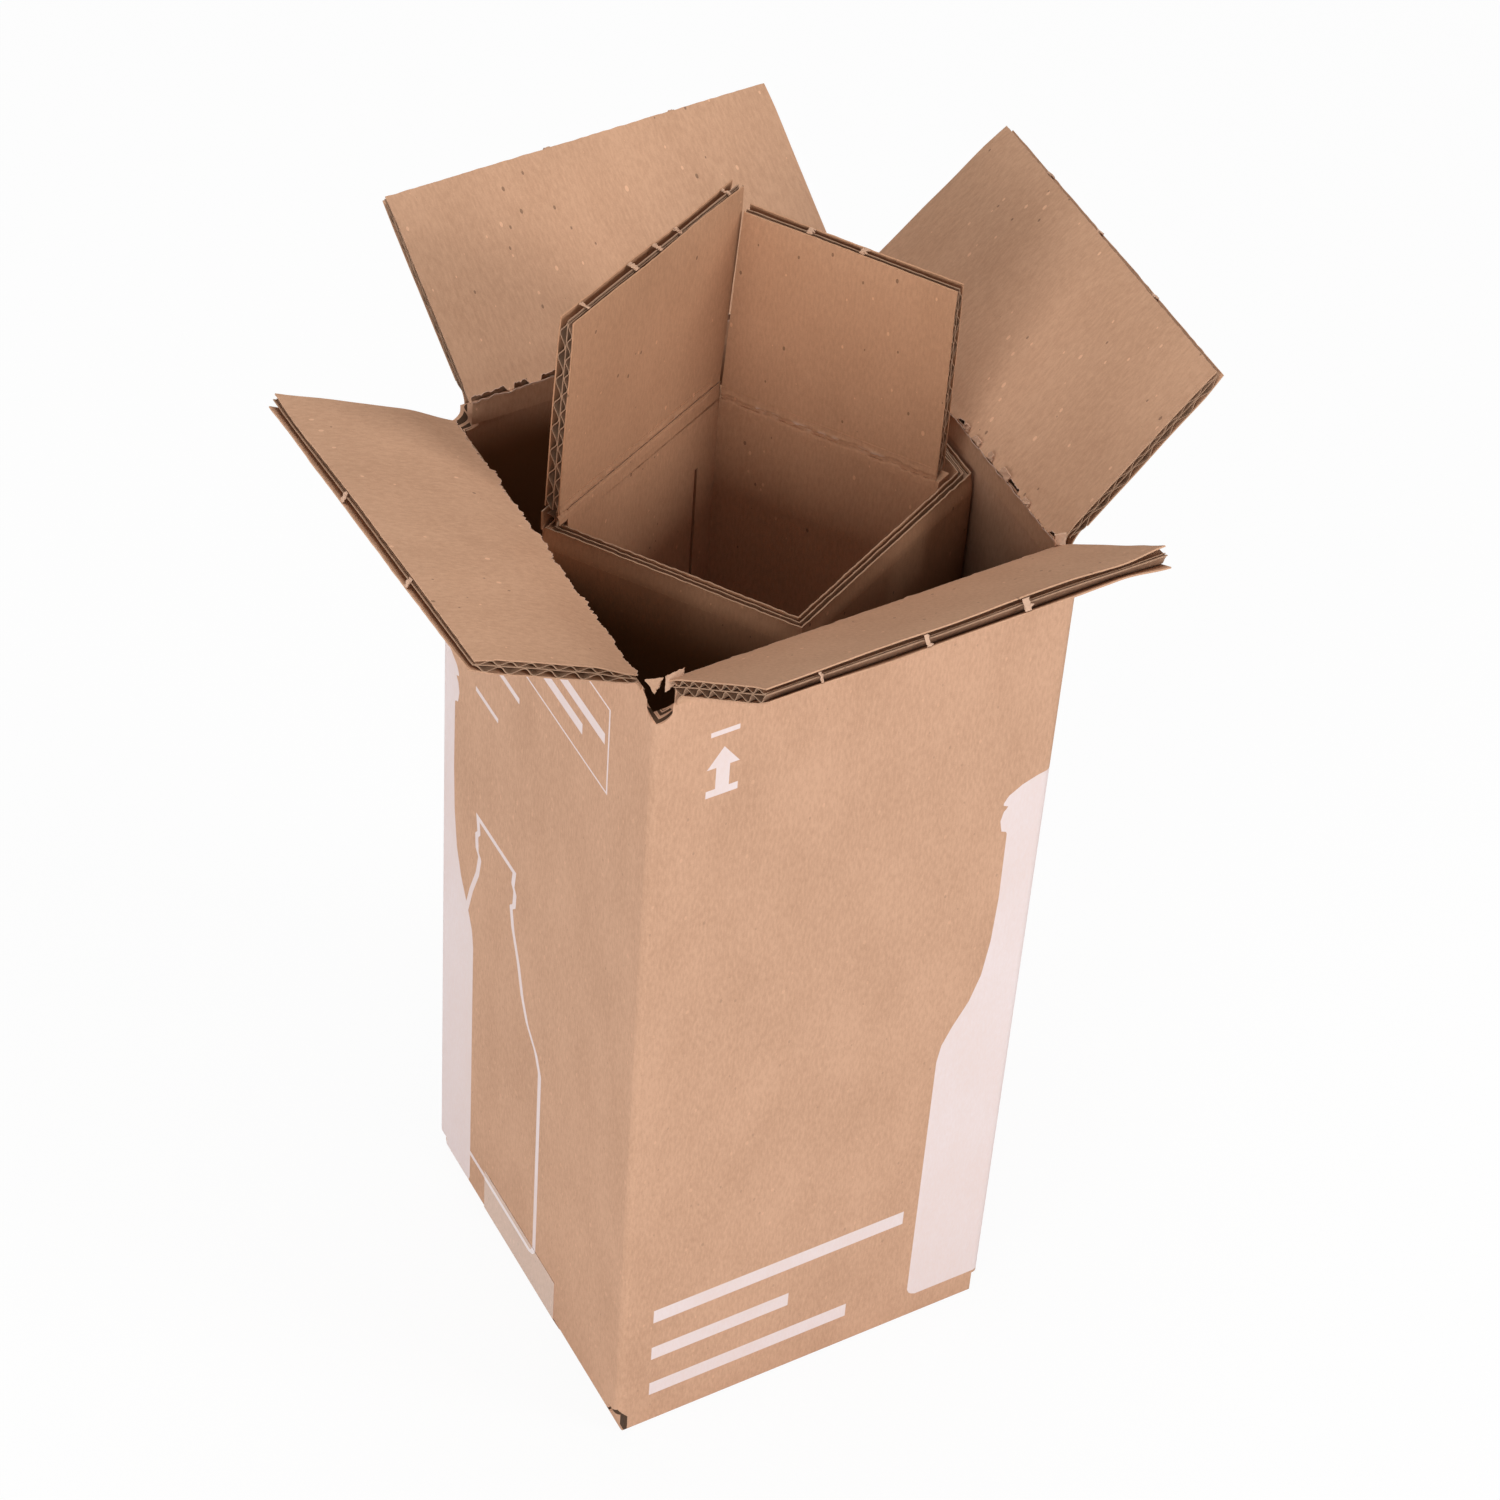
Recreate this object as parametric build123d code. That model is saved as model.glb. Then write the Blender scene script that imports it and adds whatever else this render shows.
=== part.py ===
from build123d import *
import math
import os

os.makedirs("parts", exist_ok=True)

# Double-wall board: three liners with a coarse and a fine flute between them
outer_liner = 0.4
middle_liner = 0.3
inner_liner = 0.4
coarse_flute = 2.15
fine_flute = 1.55
board = outer_liner + coarse_flute + middle_liner + fine_flute + inner_liner

# Flute cells: how far the paper of the fluting runs along a liner and how blunt its crests are
cell_foot = 0.6
cell_crest = 0.35
cell_skin = 0.3
cell_margin = 1.5
cell_root = 1.0
edge_crush_run = 1.8
edge_crush_depth = 0.55

# Carton
carton_width = 125.0
carton_depth = 123.0
fold_height = 320.0
corner_radius = 2.2
bottom_fold_radius = 2.2
bottom_major_length = 60.8
bottom_minor_length = 60.4
bottom_layer_gap = 0.4
bottom_corner_notch = 2.4
bottom_lap = 2.0
corner_slot_radius = 3.4
corner_slot_depth = 10.0
corner_slot_reach = 9.0
seam_width = 0.6
seam_depth = 1.2
seam_inset = 5.2

# Top flaps: they fold on the inner liner, and a mitre on both sides of the fold lets them open out flat
flap_length = 60.4
flap_end_inset = 5.3
fold_bead_radius = 0.6
fold_clearance = 0.15
flap_mitre_share = 0.92
wall_mitre_over = 1.0
flap_coarse_waves = 7
flap_fine_waves = 9
front_angle = 49.1
back_angle = 58.9
left_angle = 63.3
right_angle = 46.0

# Bottom tape
tape_width = 48.0
tape_thickness = 0.15
tape_rise = 24.8
tape_offset = 5.0
tape_fold_share = 0.6

# Insert sleeve, a skewed square tube set cornerwise in the carton
sleeve_clearance = 0.7
sleeve_left_y = 14.7
sleeve_right_y = 15.6
sleeve_front_x = 12.9
sleeve_front_gap = 8.8
sleeve_back_x = 10.7
sleeve_back_gap = 11.2
sleeve_start_inset = 3.4
sleeve_fold_radius = 1.2
rim_groove_depth = 1.2
wrap_length = 36.0
butt_gap = 0.5
slit_width = 0.5
slit_depth = 2.4
slit_from_corner = 8.4
slit_drop = 26.0
slit_length = 44.0

# Insert flaps
near_flap_drop = 9.4
flap_stack_gap = 0.3
near_flap_length = 65.7
far_flap_length = 68.2
insert_coarse_waves = 8
insert_fine_waves = 11
near_flap_lean = 0.5
far_flap_lean = 2.5
near_flap_start = 0.8
near_flap_tip_cut = 3.0
near_flap_shoulder = 1.3
far_flap_short = 2.0
far_flap_root_cut = 1.7
far_flap_overrun = 4.3

half_width = carton_width / 2
half_depth = carton_depth / 2
wall_top = fold_height - fold_bead_radius - fold_clearance
minor_level = board + bottom_layer_gap
floor_level = minor_level + board
sleeve_corner_x = half_width - board - sleeve_clearance
sleeve_front_y = half_depth - board - sleeve_front_gap
sleeve_back_y = half_depth - board - sleeve_back_gap
near_flap_fold = fold_height - near_flap_drop
sleeve_rim_height = near_flap_fold - fold_bead_radius - fold_clearance
far_flap_fold = near_flap_fold + board + flap_stack_gap
up = Vector(0, 0, 1)


def flute_row(start, pitch, waves, low, high):
    """Faces of the open cells of one flute row, between two liner faces."""
    cells = []
    middle = pitch / 2
    for wave in range(waves):
        left = start + wave * pitch
        under = [
            (left + cell_foot, low),
            (left + pitch - cell_foot, low),
            (left + middle + cell_crest, high - cell_skin),
            (left + middle - cell_crest, high - cell_skin),
        ]
        cells.append(make_face(Polyline(*under, close=True)))
        if wave + 1 < waves:
            over = [
                (left + middle + cell_foot, high),
                (left + middle + pitch - cell_foot, high),
                (left + pitch + cell_crest, low + cell_skin),
                (left + pitch - cell_crest, low + cell_skin),
            ]
            cells.append(make_face(Polyline(*over, close=True)))
    return cells


def corrugated_flap(length, width, coarse_waves, fine_waves, mitre_share):
    """A flap of open corrugated board that folds on its inner liner.

    x runs from the fold, y through the board from the inner liner out, z along the fold. The mitre
    share is the slope of the root face: 0 is square.
    """
    outline = [
        (0, 0),
        (length - edge_crush_run, 0),
        (length, edge_crush_depth),
        (length, board - edge_crush_depth),
        (length - edge_crush_run, board),
        (board * mitre_share, board),
    ]
    section = make_face(Polyline(*outline, close=True)) + Circle(fold_bead_radius)
    fine_low = inner_liner
    fine_high = fine_low + fine_flute
    coarse_low = fine_high + middle_liner
    coarse_high = coarse_low + coarse_flute
    fine_start = fine_high * mitre_share + cell_root
    coarse_start = coarse_high * mitre_share + cell_root
    fine_pitch = (length - cell_margin - fine_start) / fine_waves
    coarse_pitch = (length - cell_margin - coarse_start) / coarse_waves
    cells = flute_row(fine_start, fine_pitch, fine_waves, fine_low, fine_high)
    cells += flute_row(coarse_start, coarse_pitch, coarse_waves, coarse_low, coarse_high)
    section -= cells
    return extrude(section, amount=width / 2, both=True)


def hinged(flap, pivot, board_side, lean_side, angle):
    """Stand a flap on its fold, its board on one side of the fold line, leaning to one side by an angle."""
    lean = math.radians(angle)
    run = lean_side * math.sin(lean) + up * math.cos(lean)
    return Plane(origin=pivot, x_dir=run, z_dir=up.cross(board_side)) * flap


def bar(start, along, across, length, thickness, low, high):
    """An upright board panel from a corner along one direction, its thickness across it."""
    plane = Plane(origin=start + up * low, x_dir=along, z_dir=up)
    side = 1 if plane.y_dir.dot(across) > 0 else -1
    block = Box(length, thickness, high - low, align=(Align.MIN, Align.CENTER, Align.MIN))
    return plane * Pos(0, side * thickness / 2, 0) * block


# Carton: walls with a bottom of two folded layers, all one sheet
ring = RectangleRounded(carton_width, carton_depth, corner_radius)
ring -= Rectangle(carton_width - 2 * board, carton_depth - 2 * board)
carton = Pos(0, 0, floor_level) * extrude(ring, amount=wall_top - floor_level)

major_pts = [
    (0, 0),
    (bottom_major_length, 0),
    (bottom_major_length, board),
    (board, board),
    (board, floor_level + bottom_lap),
    (0, floor_level + bottom_lap),
]
major_section = make_face(Polyline(*major_pts, close=True))
major_section = fillet(major_section.vertices().group_by(Axis.Y)[0].sort_by(Axis.X)[0], bottom_fold_radius)
major_width = carton_width - 2 * bottom_corner_notch
front_bottom = Plane(origin=(0, -half_depth, 0), x_dir=(0, 1, 0), z_dir=(1, 0, 0))
carton += front_bottom * extrude(major_section, amount=major_width / 2, both=True)
carton += Rot(0, 0, 180) * (front_bottom * extrude(major_section, amount=major_width / 2, both=True))

minor_pts = [
    (0, 0),
    (bottom_minor_length, 0),
    (bottom_minor_length, board),
    (board, board),
    (board, board + bottom_lap),
    (0, board + bottom_lap),
]
minor_section = make_face(Polyline(*minor_pts, close=True))
minor_section = fillet(minor_section.vertices().group_by(Axis.Y)[0].sort_by(Axis.X)[0], bottom_fold_radius)
minor_width = carton_depth - 2 * flap_end_inset
left_bottom = Plane(origin=(-half_width, 0, minor_level), x_dir=(1, 0, 0), z_dir=(0, -1, 0))
carton += left_bottom * extrude(minor_section, amount=minor_width / 2, both=True)
carton += Rot(0, 0, 180) * (left_bottom * extrude(minor_section, amount=minor_width / 2, both=True))

# Mitred tops of the walls, falling from the inner liner to the outer one
mitre_reach = board + wall_mitre_over
mitre_pts = [(0, 0), (mitre_reach, 0), (mitre_reach, -mitre_reach)]
mitre_face = make_face(Polyline(*mitre_pts, close=True))
for turn, half_span, half_run in (
    (0, half_width, half_depth),
    (90, half_depth, half_width),
    (180, half_width, half_depth),
    (270, half_depth, half_width),
):
    mitre_plane = Plane(origin=(half_span - board, 0, wall_top), x_dir=(1, 0, 0), z_dir=(0, -1, 0))
    carton -= Rot(0, 0, turn) * (mitre_plane * extrude(mitre_face, amount=half_run, both=True))

# U-shaped slots that part the top flaps at the corners
slot_face = Rectangle(2 * corner_slot_radius, corner_slot_depth, align=(Align.CENTER, Align.MIN))
slot_face += Circle(corner_slot_radius)
for sign_x in (-1, 1):
    for sign_y in (-1, 1):
        diagonal = Vector(sign_x, sign_y, 0).normalized()
        corner = Vector(sign_x * half_width, sign_y * half_depth, wall_top)
        corner -= up * (corner_slot_depth - corner_slot_radius)
        slot_plane = Plane(origin=corner, x_dir=diagonal.cross(up) * -1, z_dir=diagonal)
        carton -= slot_plane * extrude(slot_face, amount=corner_slot_reach, both=True)

# Glued side seam at the hidden back corner, and the bed of the tape
seam = Box(seam_width, 2 * seam_depth, wall_top, align=(Align.CENTER, Align.CENTER, Align.MIN))
carton -= Pos(half_width - seam_inset, half_depth, 0) * seam
tape_bed = Box(carton_width, tape_width, 2 * tape_thickness)
carton -= Pos(0, tape_offset, 0) * tape_bed
export_step(carton, "parts/carton.step")

# Tape over the bottom seam, drawn across the bottom folds and turned up on the left and right walls
tape_fold = minor_level + bottom_fold_radius * tape_fold_share
bottom_end = major_width / 2
tape_pts = [
    (0, 0),
    (bottom_end + tape_thickness, 0),
    (half_width + tape_thickness, tape_fold),
    (half_width + tape_thickness, tape_rise),
    (half_width, tape_rise),
    (half_width, tape_fold),
    (bottom_end, tape_thickness),
    (0, tape_thickness),
]
tape_section = make_face(Polyline(*tape_pts, close=True))
right_tape = extrude(Plane.XZ * tape_section, amount=tape_width / 2, both=True)
tape = right_tape + mirror(right_tape, about=Plane.YZ)
export_step(Pos(0, tape_offset, 0) * tape, "parts/tape.step")

# The four top flaps
side_flap = corrugated_flap(
    flap_length, carton_depth - 2 * flap_end_inset, flap_coarse_waves, flap_fine_waves, flap_mitre_share
)
end_flap = corrugated_flap(
    flap_length, carton_width - 2 * flap_end_inset, flap_coarse_waves, flap_fine_waves, flap_mitre_share
)
front_out = Vector(0, -1, 0)
back_out = Vector(0, 1, 0)
left_out = Vector(-1, 0, 0)
right_out = Vector(1, 0, 0)
front_pivot = front_out * (half_depth - board) + up * fold_height
back_pivot = back_out * (half_depth - board) + up * fold_height
left_pivot = left_out * (half_width - board) + up * fold_height
right_pivot = right_out * (half_width - board) + up * fold_height
export_step(hinged(end_flap, front_pivot, front_out, front_out, front_angle), "parts/flap_front.step")
export_step(hinged(end_flap, back_pivot, back_out, back_out, back_angle), "parts/flap_back.step")
export_step(hinged(side_flap, left_pivot, left_out, left_out, left_angle), "parts/flap_left.step")
export_step(hinged(side_flap, right_pivot, right_out, right_out, right_angle), "parts/flap_right.step")

# Insert sleeve corners: A left, B front, C right, D back, and S where the first panel meets panel B to C
corner_a = Vector(-sleeve_corner_x, sleeve_left_y, 0)
corner_b = Vector(-sleeve_front_x, -sleeve_front_y, 0)
corner_c = Vector(sleeve_corner_x, -sleeve_right_y, 0)
corner_d = Vector(sleeve_back_x, sleeve_back_y, 0)
along_ab = (corner_b - corner_a).normalized()
along_bc = (corner_c - corner_b).normalized()
along_ad = (corner_d - corner_a).normalized()
corner_s = corner_c - along_bc * sleeve_start_inset
along_ds = (corner_s - corner_d).normalized()
in_ab = up.cross(along_ab)
in_bc = up.cross(along_bc)
in_ad = along_ad.cross(up)
in_ds = along_ds.cross(up)


def inside(corner, arriving, leaving):
    """The inner corner of the board at a fold, from the directions that arrive at it and leave it."""
    return corner + (leaving - arriving) * (board / arriving.cross(leaving).Z)


inner_a = inside(corner_a, along_ad * -1, along_ab)
inner_b = inside(corner_b, along_ab, along_bc)
inner_s = inside(corner_s, along_bc, along_ds * -1)
inner_d = inside(corner_d, along_ds * -1, along_ad * -1)
far_top = far_flap_fold - fold_bead_radius - fold_clearance
wrap_outer = sleeve_corner_x
wrap_inner = wrap_outer - board
wrap_end = wrap_length - sleeve_right_y


def at_x(point, along, x):
    """The point where a line meets an upright plane at a given x."""
    return point + along * ((x - point.X) / along.X)


# Plan of the sheet: from its start at corner C round D, A and B, past C and along the right wall
start_inner = inner_s - along_ds * butt_gap
start_outer = start_inner + along_bc * (board / along_ds.cross(along_bc).Z)
wrap_crease = at_x(inner_b, along_bc, wrap_inner)
plan = [
    start_outer,
    corner_d,
    corner_a,
    corner_b,
    corner_c,
    Vector(wrap_outer, wrap_end, 0),
    Vector(wrap_inner, wrap_end, 0),
    wrap_crease,
    inner_b,
    inner_a,
    inner_d,
    start_inner,
]
outline = make_face(Polyline(*[(point.X, point.Y) for point in plan], close=True))
folds = [v for v in outline.vertices() for c in (corner_a, corner_b, corner_c, corner_d)
         if (Vector(v.X, v.Y, 0) - c).length < butt_gap]
outline = fillet(folds, sleeve_fold_radius)
sleeve = Pos(0, 0, floor_level) * extrude(outline, amount=far_top - floor_level)

# The rim is level, apart from the panel from A to D, which stands higher
across = carton_width + carton_depth
room = Box(across, across, fold_height, align=(Align.CENTER, Align.MAX, Align.MIN))
half_plane_ac = Plane(origin=corner_a + up * sleeve_rim_height, x_dir=inner_a - corner_a, z_dir=up)
half_plane_bd = Plane(origin=corner_d + up * sleeve_rim_height, x_dir=inner_d - corner_d, z_dir=up)
sleeve -= half_plane_ac * room
sleeve -= half_plane_bd * (Rot(0, 0, 180) * room)

# Open flutes seen as grooves along the plain rims, and the short upright slit near corner D
groove_low = sleeve_rim_height - rim_groove_depth
for start, along, inward, length in (
    (corner_a, along_ab, in_ab, (corner_b - corner_a).length),
    (corner_b, along_bc, in_bc, (corner_c - corner_b).length),
    (corner_c, back_out, left_out, wrap_length),
):
    first = start + along * board + inward * outer_liner
    second = first + inward * (coarse_flute + middle_liner)
    groove_run = length - board - board
    sleeve -= bar(first, along, inward, groove_run, coarse_flute, groove_low, sleeve_rim_height)
    sleeve -= bar(second, along, inward, groove_run, fine_flute, groove_low, sleeve_rim_height)
slit_start = inner_d - along_ad * (slit_from_corner + slit_width)
slit_top = far_flap_fold - slit_drop
sleeve -= bar(slit_start, along_ad, in_ad * -1, slit_width, slit_depth, slit_top - slit_length, slit_top)
export_step(sleeve, "parts/insert_sleeve.step")

# Flaps of the insert, hinged on the inner liner, their ends at corner D slanted to clear each other
near_end = (inner_s - inner_d).length - near_flap_shoulder
near_width = near_end - near_flap_start
far_end = (inner_d - inner_a).length - far_flap_short
far_width = far_end + far_flap_overrun


def slant(length, width, root_cut, tip_cut, side):
    """A wedge that slants one short edge of a flap, by one cut at the fold and another at the tip."""
    points = [(0, 0), (length, 0), (length, -side * tip_cut), (0, -side * root_cut)]
    points = points[:3] if root_cut == 0 else [points[0], points[1], points[3]]
    wedge = extrude(make_face(Polyline(*points, close=True)), amount=2 * board, both=True)
    return Pos(-fold_bead_radius, 0, side * width / 2) * Rot(90, 0, 0) * wedge


near_flap = corrugated_flap(near_flap_length, near_width, insert_coarse_waves, insert_fine_waves, 0)
far_flap = corrugated_flap(far_flap_length, far_width, insert_coarse_waves, insert_fine_waves, 0)
near_flap -= slant(near_flap_length + 2 * fold_bead_radius, near_width, 0, near_flap_tip_cut, 1)
far_flap -= slant(far_flap_length + 2 * fold_bead_radius, far_width, far_flap_root_cut, 0, -1)
near_middle = inner_d + along_ds * ((near_flap_start + near_end) / 2) + up * near_flap_fold
far_middle = inner_a + along_ad * ((far_end - far_flap_overrun) / 2) + up * far_flap_fold
near_flap = hinged(near_flap, near_middle, in_ds * -1, in_ds, near_flap_lean)
far_flap = hinged(far_flap, far_middle, in_ad * -1, in_ad, far_flap_lean)
export_step(near_flap, "parts/insert_flap_right.step")
export_step(far_flap, "parts/insert_flap_left.step")
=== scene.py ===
"""Bottle shipping box: a kraft corrugated carton with open top flaps and a sleeve insert.

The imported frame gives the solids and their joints. This script dresses them: layered board for the
flaps, torn liners along the folds, layered rims, printed kraft paper and tape, and a plain studio.
"""
import logging
import math
from dataclasses import dataclass, field
from enum import Enum
from typing import Any, Callable, ClassVar, Dict, List, Mapping, Optional, Sequence, Tuple, Union

import bmesh
import bpy
from mathutils import Matrix, Vector
from mathutils import noise as paper_noise

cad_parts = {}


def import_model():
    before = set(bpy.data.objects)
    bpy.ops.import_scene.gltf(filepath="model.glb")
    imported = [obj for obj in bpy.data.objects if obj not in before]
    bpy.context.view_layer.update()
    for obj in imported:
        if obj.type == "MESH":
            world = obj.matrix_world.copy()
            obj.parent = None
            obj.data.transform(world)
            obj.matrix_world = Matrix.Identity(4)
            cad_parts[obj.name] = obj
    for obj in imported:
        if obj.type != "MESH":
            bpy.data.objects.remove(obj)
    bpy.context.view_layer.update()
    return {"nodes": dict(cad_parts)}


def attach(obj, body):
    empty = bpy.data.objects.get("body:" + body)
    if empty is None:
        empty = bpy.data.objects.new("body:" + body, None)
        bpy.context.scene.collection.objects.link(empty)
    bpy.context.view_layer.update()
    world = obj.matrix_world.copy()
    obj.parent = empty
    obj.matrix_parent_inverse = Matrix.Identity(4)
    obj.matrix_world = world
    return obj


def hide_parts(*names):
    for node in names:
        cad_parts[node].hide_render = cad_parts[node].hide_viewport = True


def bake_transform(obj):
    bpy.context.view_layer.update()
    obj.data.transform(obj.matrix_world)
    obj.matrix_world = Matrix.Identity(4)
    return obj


LOG = logging.getLogger("bottle_box")
MM = 0.001  # one millimetre in metres
NARROW = 6.0  # faces narrower than this, in millimetres, are shaded smooth
COPY_CREASE = math.radians(30.0)
PAPER_CREASE = math.radians(38.0)
MERGE = 0.00001  # corners closer than this, in metres, are one
CUT_REACH = 0.000001
SEED_SPREAD = (7.31, 1.7)
NOISE_GAIN = 1.6
X_AXIS = Vector((1.0, 0.0, 0.0))
Y_AXIS = Vector((0.0, 1.0, 0.0))
UP = Vector((0.0, 0.0, 1.0))
Colour = Tuple[float, float, float]
Value = Union["Sock", float]


def smooth_step(low: float, high: float, value: float) -> float:
    """Ease a value from 0 at low to 1 at high."""
    share = min(1.0, max(0.0, (value - low) / (high - low)))
    return share * share * (3.0 - 2.0 * share)


def rough_line(place: float, seed: float, step: float) -> float:
    """Noise along a line, about -1 to 1, with features about one step long; each seed has its own."""
    return paper_noise.noise(Vector((place / step, *(seed * part for part in SEED_SPREAD)))) * NOISE_GAIN


class Sock:
    """A shader socket that takes part in Python arithmetic."""

    def __init__(self, shader: "Shader", socket: bpy.types.NodeSocket) -> None:
        """Keep the shader that the socket belongs to."""
        self.shader = shader
        self.socket = socket

    def math(self, operation: str, *others: Value) -> "Sock":
        """Add a Math node.

        Args:
            operation: The Math node's operation.
            others: The values or sockets after this one.

        Returns:
            The node's result.
        """
        inputs: Dict[Any, Any] = {0: self}
        inputs.update({place + 1: other for place, other in enumerate(others)})
        return self.shader.add("ShaderNodeMath", {"operation": operation}, inputs)

    def __add__(self, other: Value) -> "Sock":
        """Sum."""
        return self.math("ADD", other)

    __radd__ = __add__

    def __sub__(self, other: Value) -> "Sock":
        """Difference."""
        return self.math("SUBTRACT", other)

    def __rsub__(self, other: float) -> "Sock":
        """Difference from a number."""
        return (self * -1.0) + other

    def __mul__(self, other: Value) -> "Sock":
        """Product."""
        return self.math("MULTIPLY", other)

    __rmul__ = __mul__

    def __truediv__(self, other: Value) -> "Sock":
        """Quotient."""
        return self.math("DIVIDE", other)

    def __lt__(self, other: Value) -> "Sock":
        """1 where this is less."""
        return self.math("LESS_THAN", other)

    def __gt__(self, other: Value) -> "Sock":
        """1 where this is greater."""
        return self.math("GREATER_THAN", other)

    def __abs__(self) -> "Sock":
        """Absolute value."""
        return self.math("ABSOLUTE")

    def either(self, other: Value) -> "Sock":
        """The greater of two masks."""
        return self.math("MAXIMUM", other)

    def eased(self, low: float, high: float) -> "Sock":
        """Ease this value from 0 at low to 1 at high."""
        inputs = {"Value": self, "From Min": low, "From Max": high}
        return self.shader.add("ShaderNodeMapRange", {"interpolation_type": "SMOOTHSTEP"}, inputs)


class Shader:
    """The node tree of one material."""

    def __init__(self, name: str) -> None:
        """Start an empty material with an output node.

        Args:
            name: The material's name.
        """
        self.material = bpy.data.materials.new(name)
        self.material.use_nodes = True
        self.tree = self.material.node_tree
        self.tree.nodes.clear()
        self.output = self.tree.nodes.new("ShaderNodeOutputMaterial")

    def add(
        self,
        kind: str,
        settings: Optional[Mapping[str, Any]] = None,
        inputs: Optional[Mapping[Any, Any]] = None,
        out: Any = 0,
    ) -> Sock:
        """Add a node.

        Args:
            kind: The node's type.
            settings: Properties set first; "stops" are a ramp's positions and colours.
            inputs: Values or sockets by the input's name or place.
            out: The output wanted, by name or place.

        Returns:
            That output.
        """
        node = self.tree.nodes.new(kind)
        for key, value in (settings or {}).items():
            if key == "stops":
                elements = node.color_ramp.elements
                while len(elements) < len(value):
                    elements.new(1.0)
                for element, (position, level) in zip(elements, value):
                    element.position = position
                    element.color = (level, level, level, 1.0)
            else:
                setattr(node, key, value)
        for key, value in (inputs or {}).items():
            if isinstance(value, Sock):
                self.tree.links.new(value.socket, node.inputs[key])
            else:
                node.inputs[key].default_value = value
        return Sock(self, node.outputs[out])

    def place(self) -> Sock:
        """The coordinates of the piece itself."""
        return self.add("ShaderNodeTexCoord", out="Object")

    def millimetres(self, place: Sock) -> Tuple[Sock, Sock, Sock]:
        """The three parts of a place in metres, in millimetres."""
        return self.split(self.stretched(place, (1.0 / MM,) * 3))

    def split(self, vector: Sock) -> Tuple[Sock, Sock, Sock]:
        """Split a vector.

        Args:
            vector: The vector.

        Returns:
            Its three parts.
        """
        first = self.add("ShaderNodeSeparateXYZ", inputs={0: vector}, out=0)
        node = first.socket.node
        return first, Sock(self, node.outputs[1]), Sock(self, node.outputs[2])

    def stretched(self, vector: Sock, scale: Sequence[float]) -> Sock:
        """A vector times a scale for each axis."""
        return self.add("ShaderNodeVectorMath", {"operation": "MULTIPLY"}, {0: vector, 1: tuple(scale)})

    def turned(self, vector: Sock, rows: Sequence[Vector]) -> Sock:
        """Turn a vector.

        Args:
            vector: The vector.
            rows: The three directions that its parts then lie along.

        Returns:
            The turned vector.
        """
        turn = Matrix([tuple(row) for row in rows]).to_euler("XYZ")
        inputs = {"Vector": vector, "Rotation": tuple(turn)}
        return self.add("ShaderNodeMapping", {"vector_type": "POINT"}, inputs)

    def noise(self, vector: Sock, scale: float, detail: float = 2.0) -> Sock:
        """Soft noise, 0 to 1."""
        inputs = {"Vector": vector, "Scale": scale, "Detail": detail}
        return self.add("ShaderNodeTexNoise", None, inputs, "Fac")

    def blend(self, factor: Value, first: Any, second: Any) -> Sock:
        """Mix two colours.

        Args:
            factor: The share of the second one, 0 to 1.
            first: A colour or a socket.
            second: A colour or a socket.

        Returns:
            The mix.
        """
        ends = [end if isinstance(end, Sock) else (*end, 1.0) for end in (first, second)]
        settings = {"data_type": "RGBA", "clamp_factor": True}
        return self.add("ShaderNodeMix", settings, {0: factor, 6: ends[0], 7: ends[1]}, 2)

    def finish(self, surface: Sock) -> bpy.types.Material:
        """Join the surface to the output and give the material back."""
        self.tree.links.new(surface.socket, self.output.inputs["Surface"])
        return self.material


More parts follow.
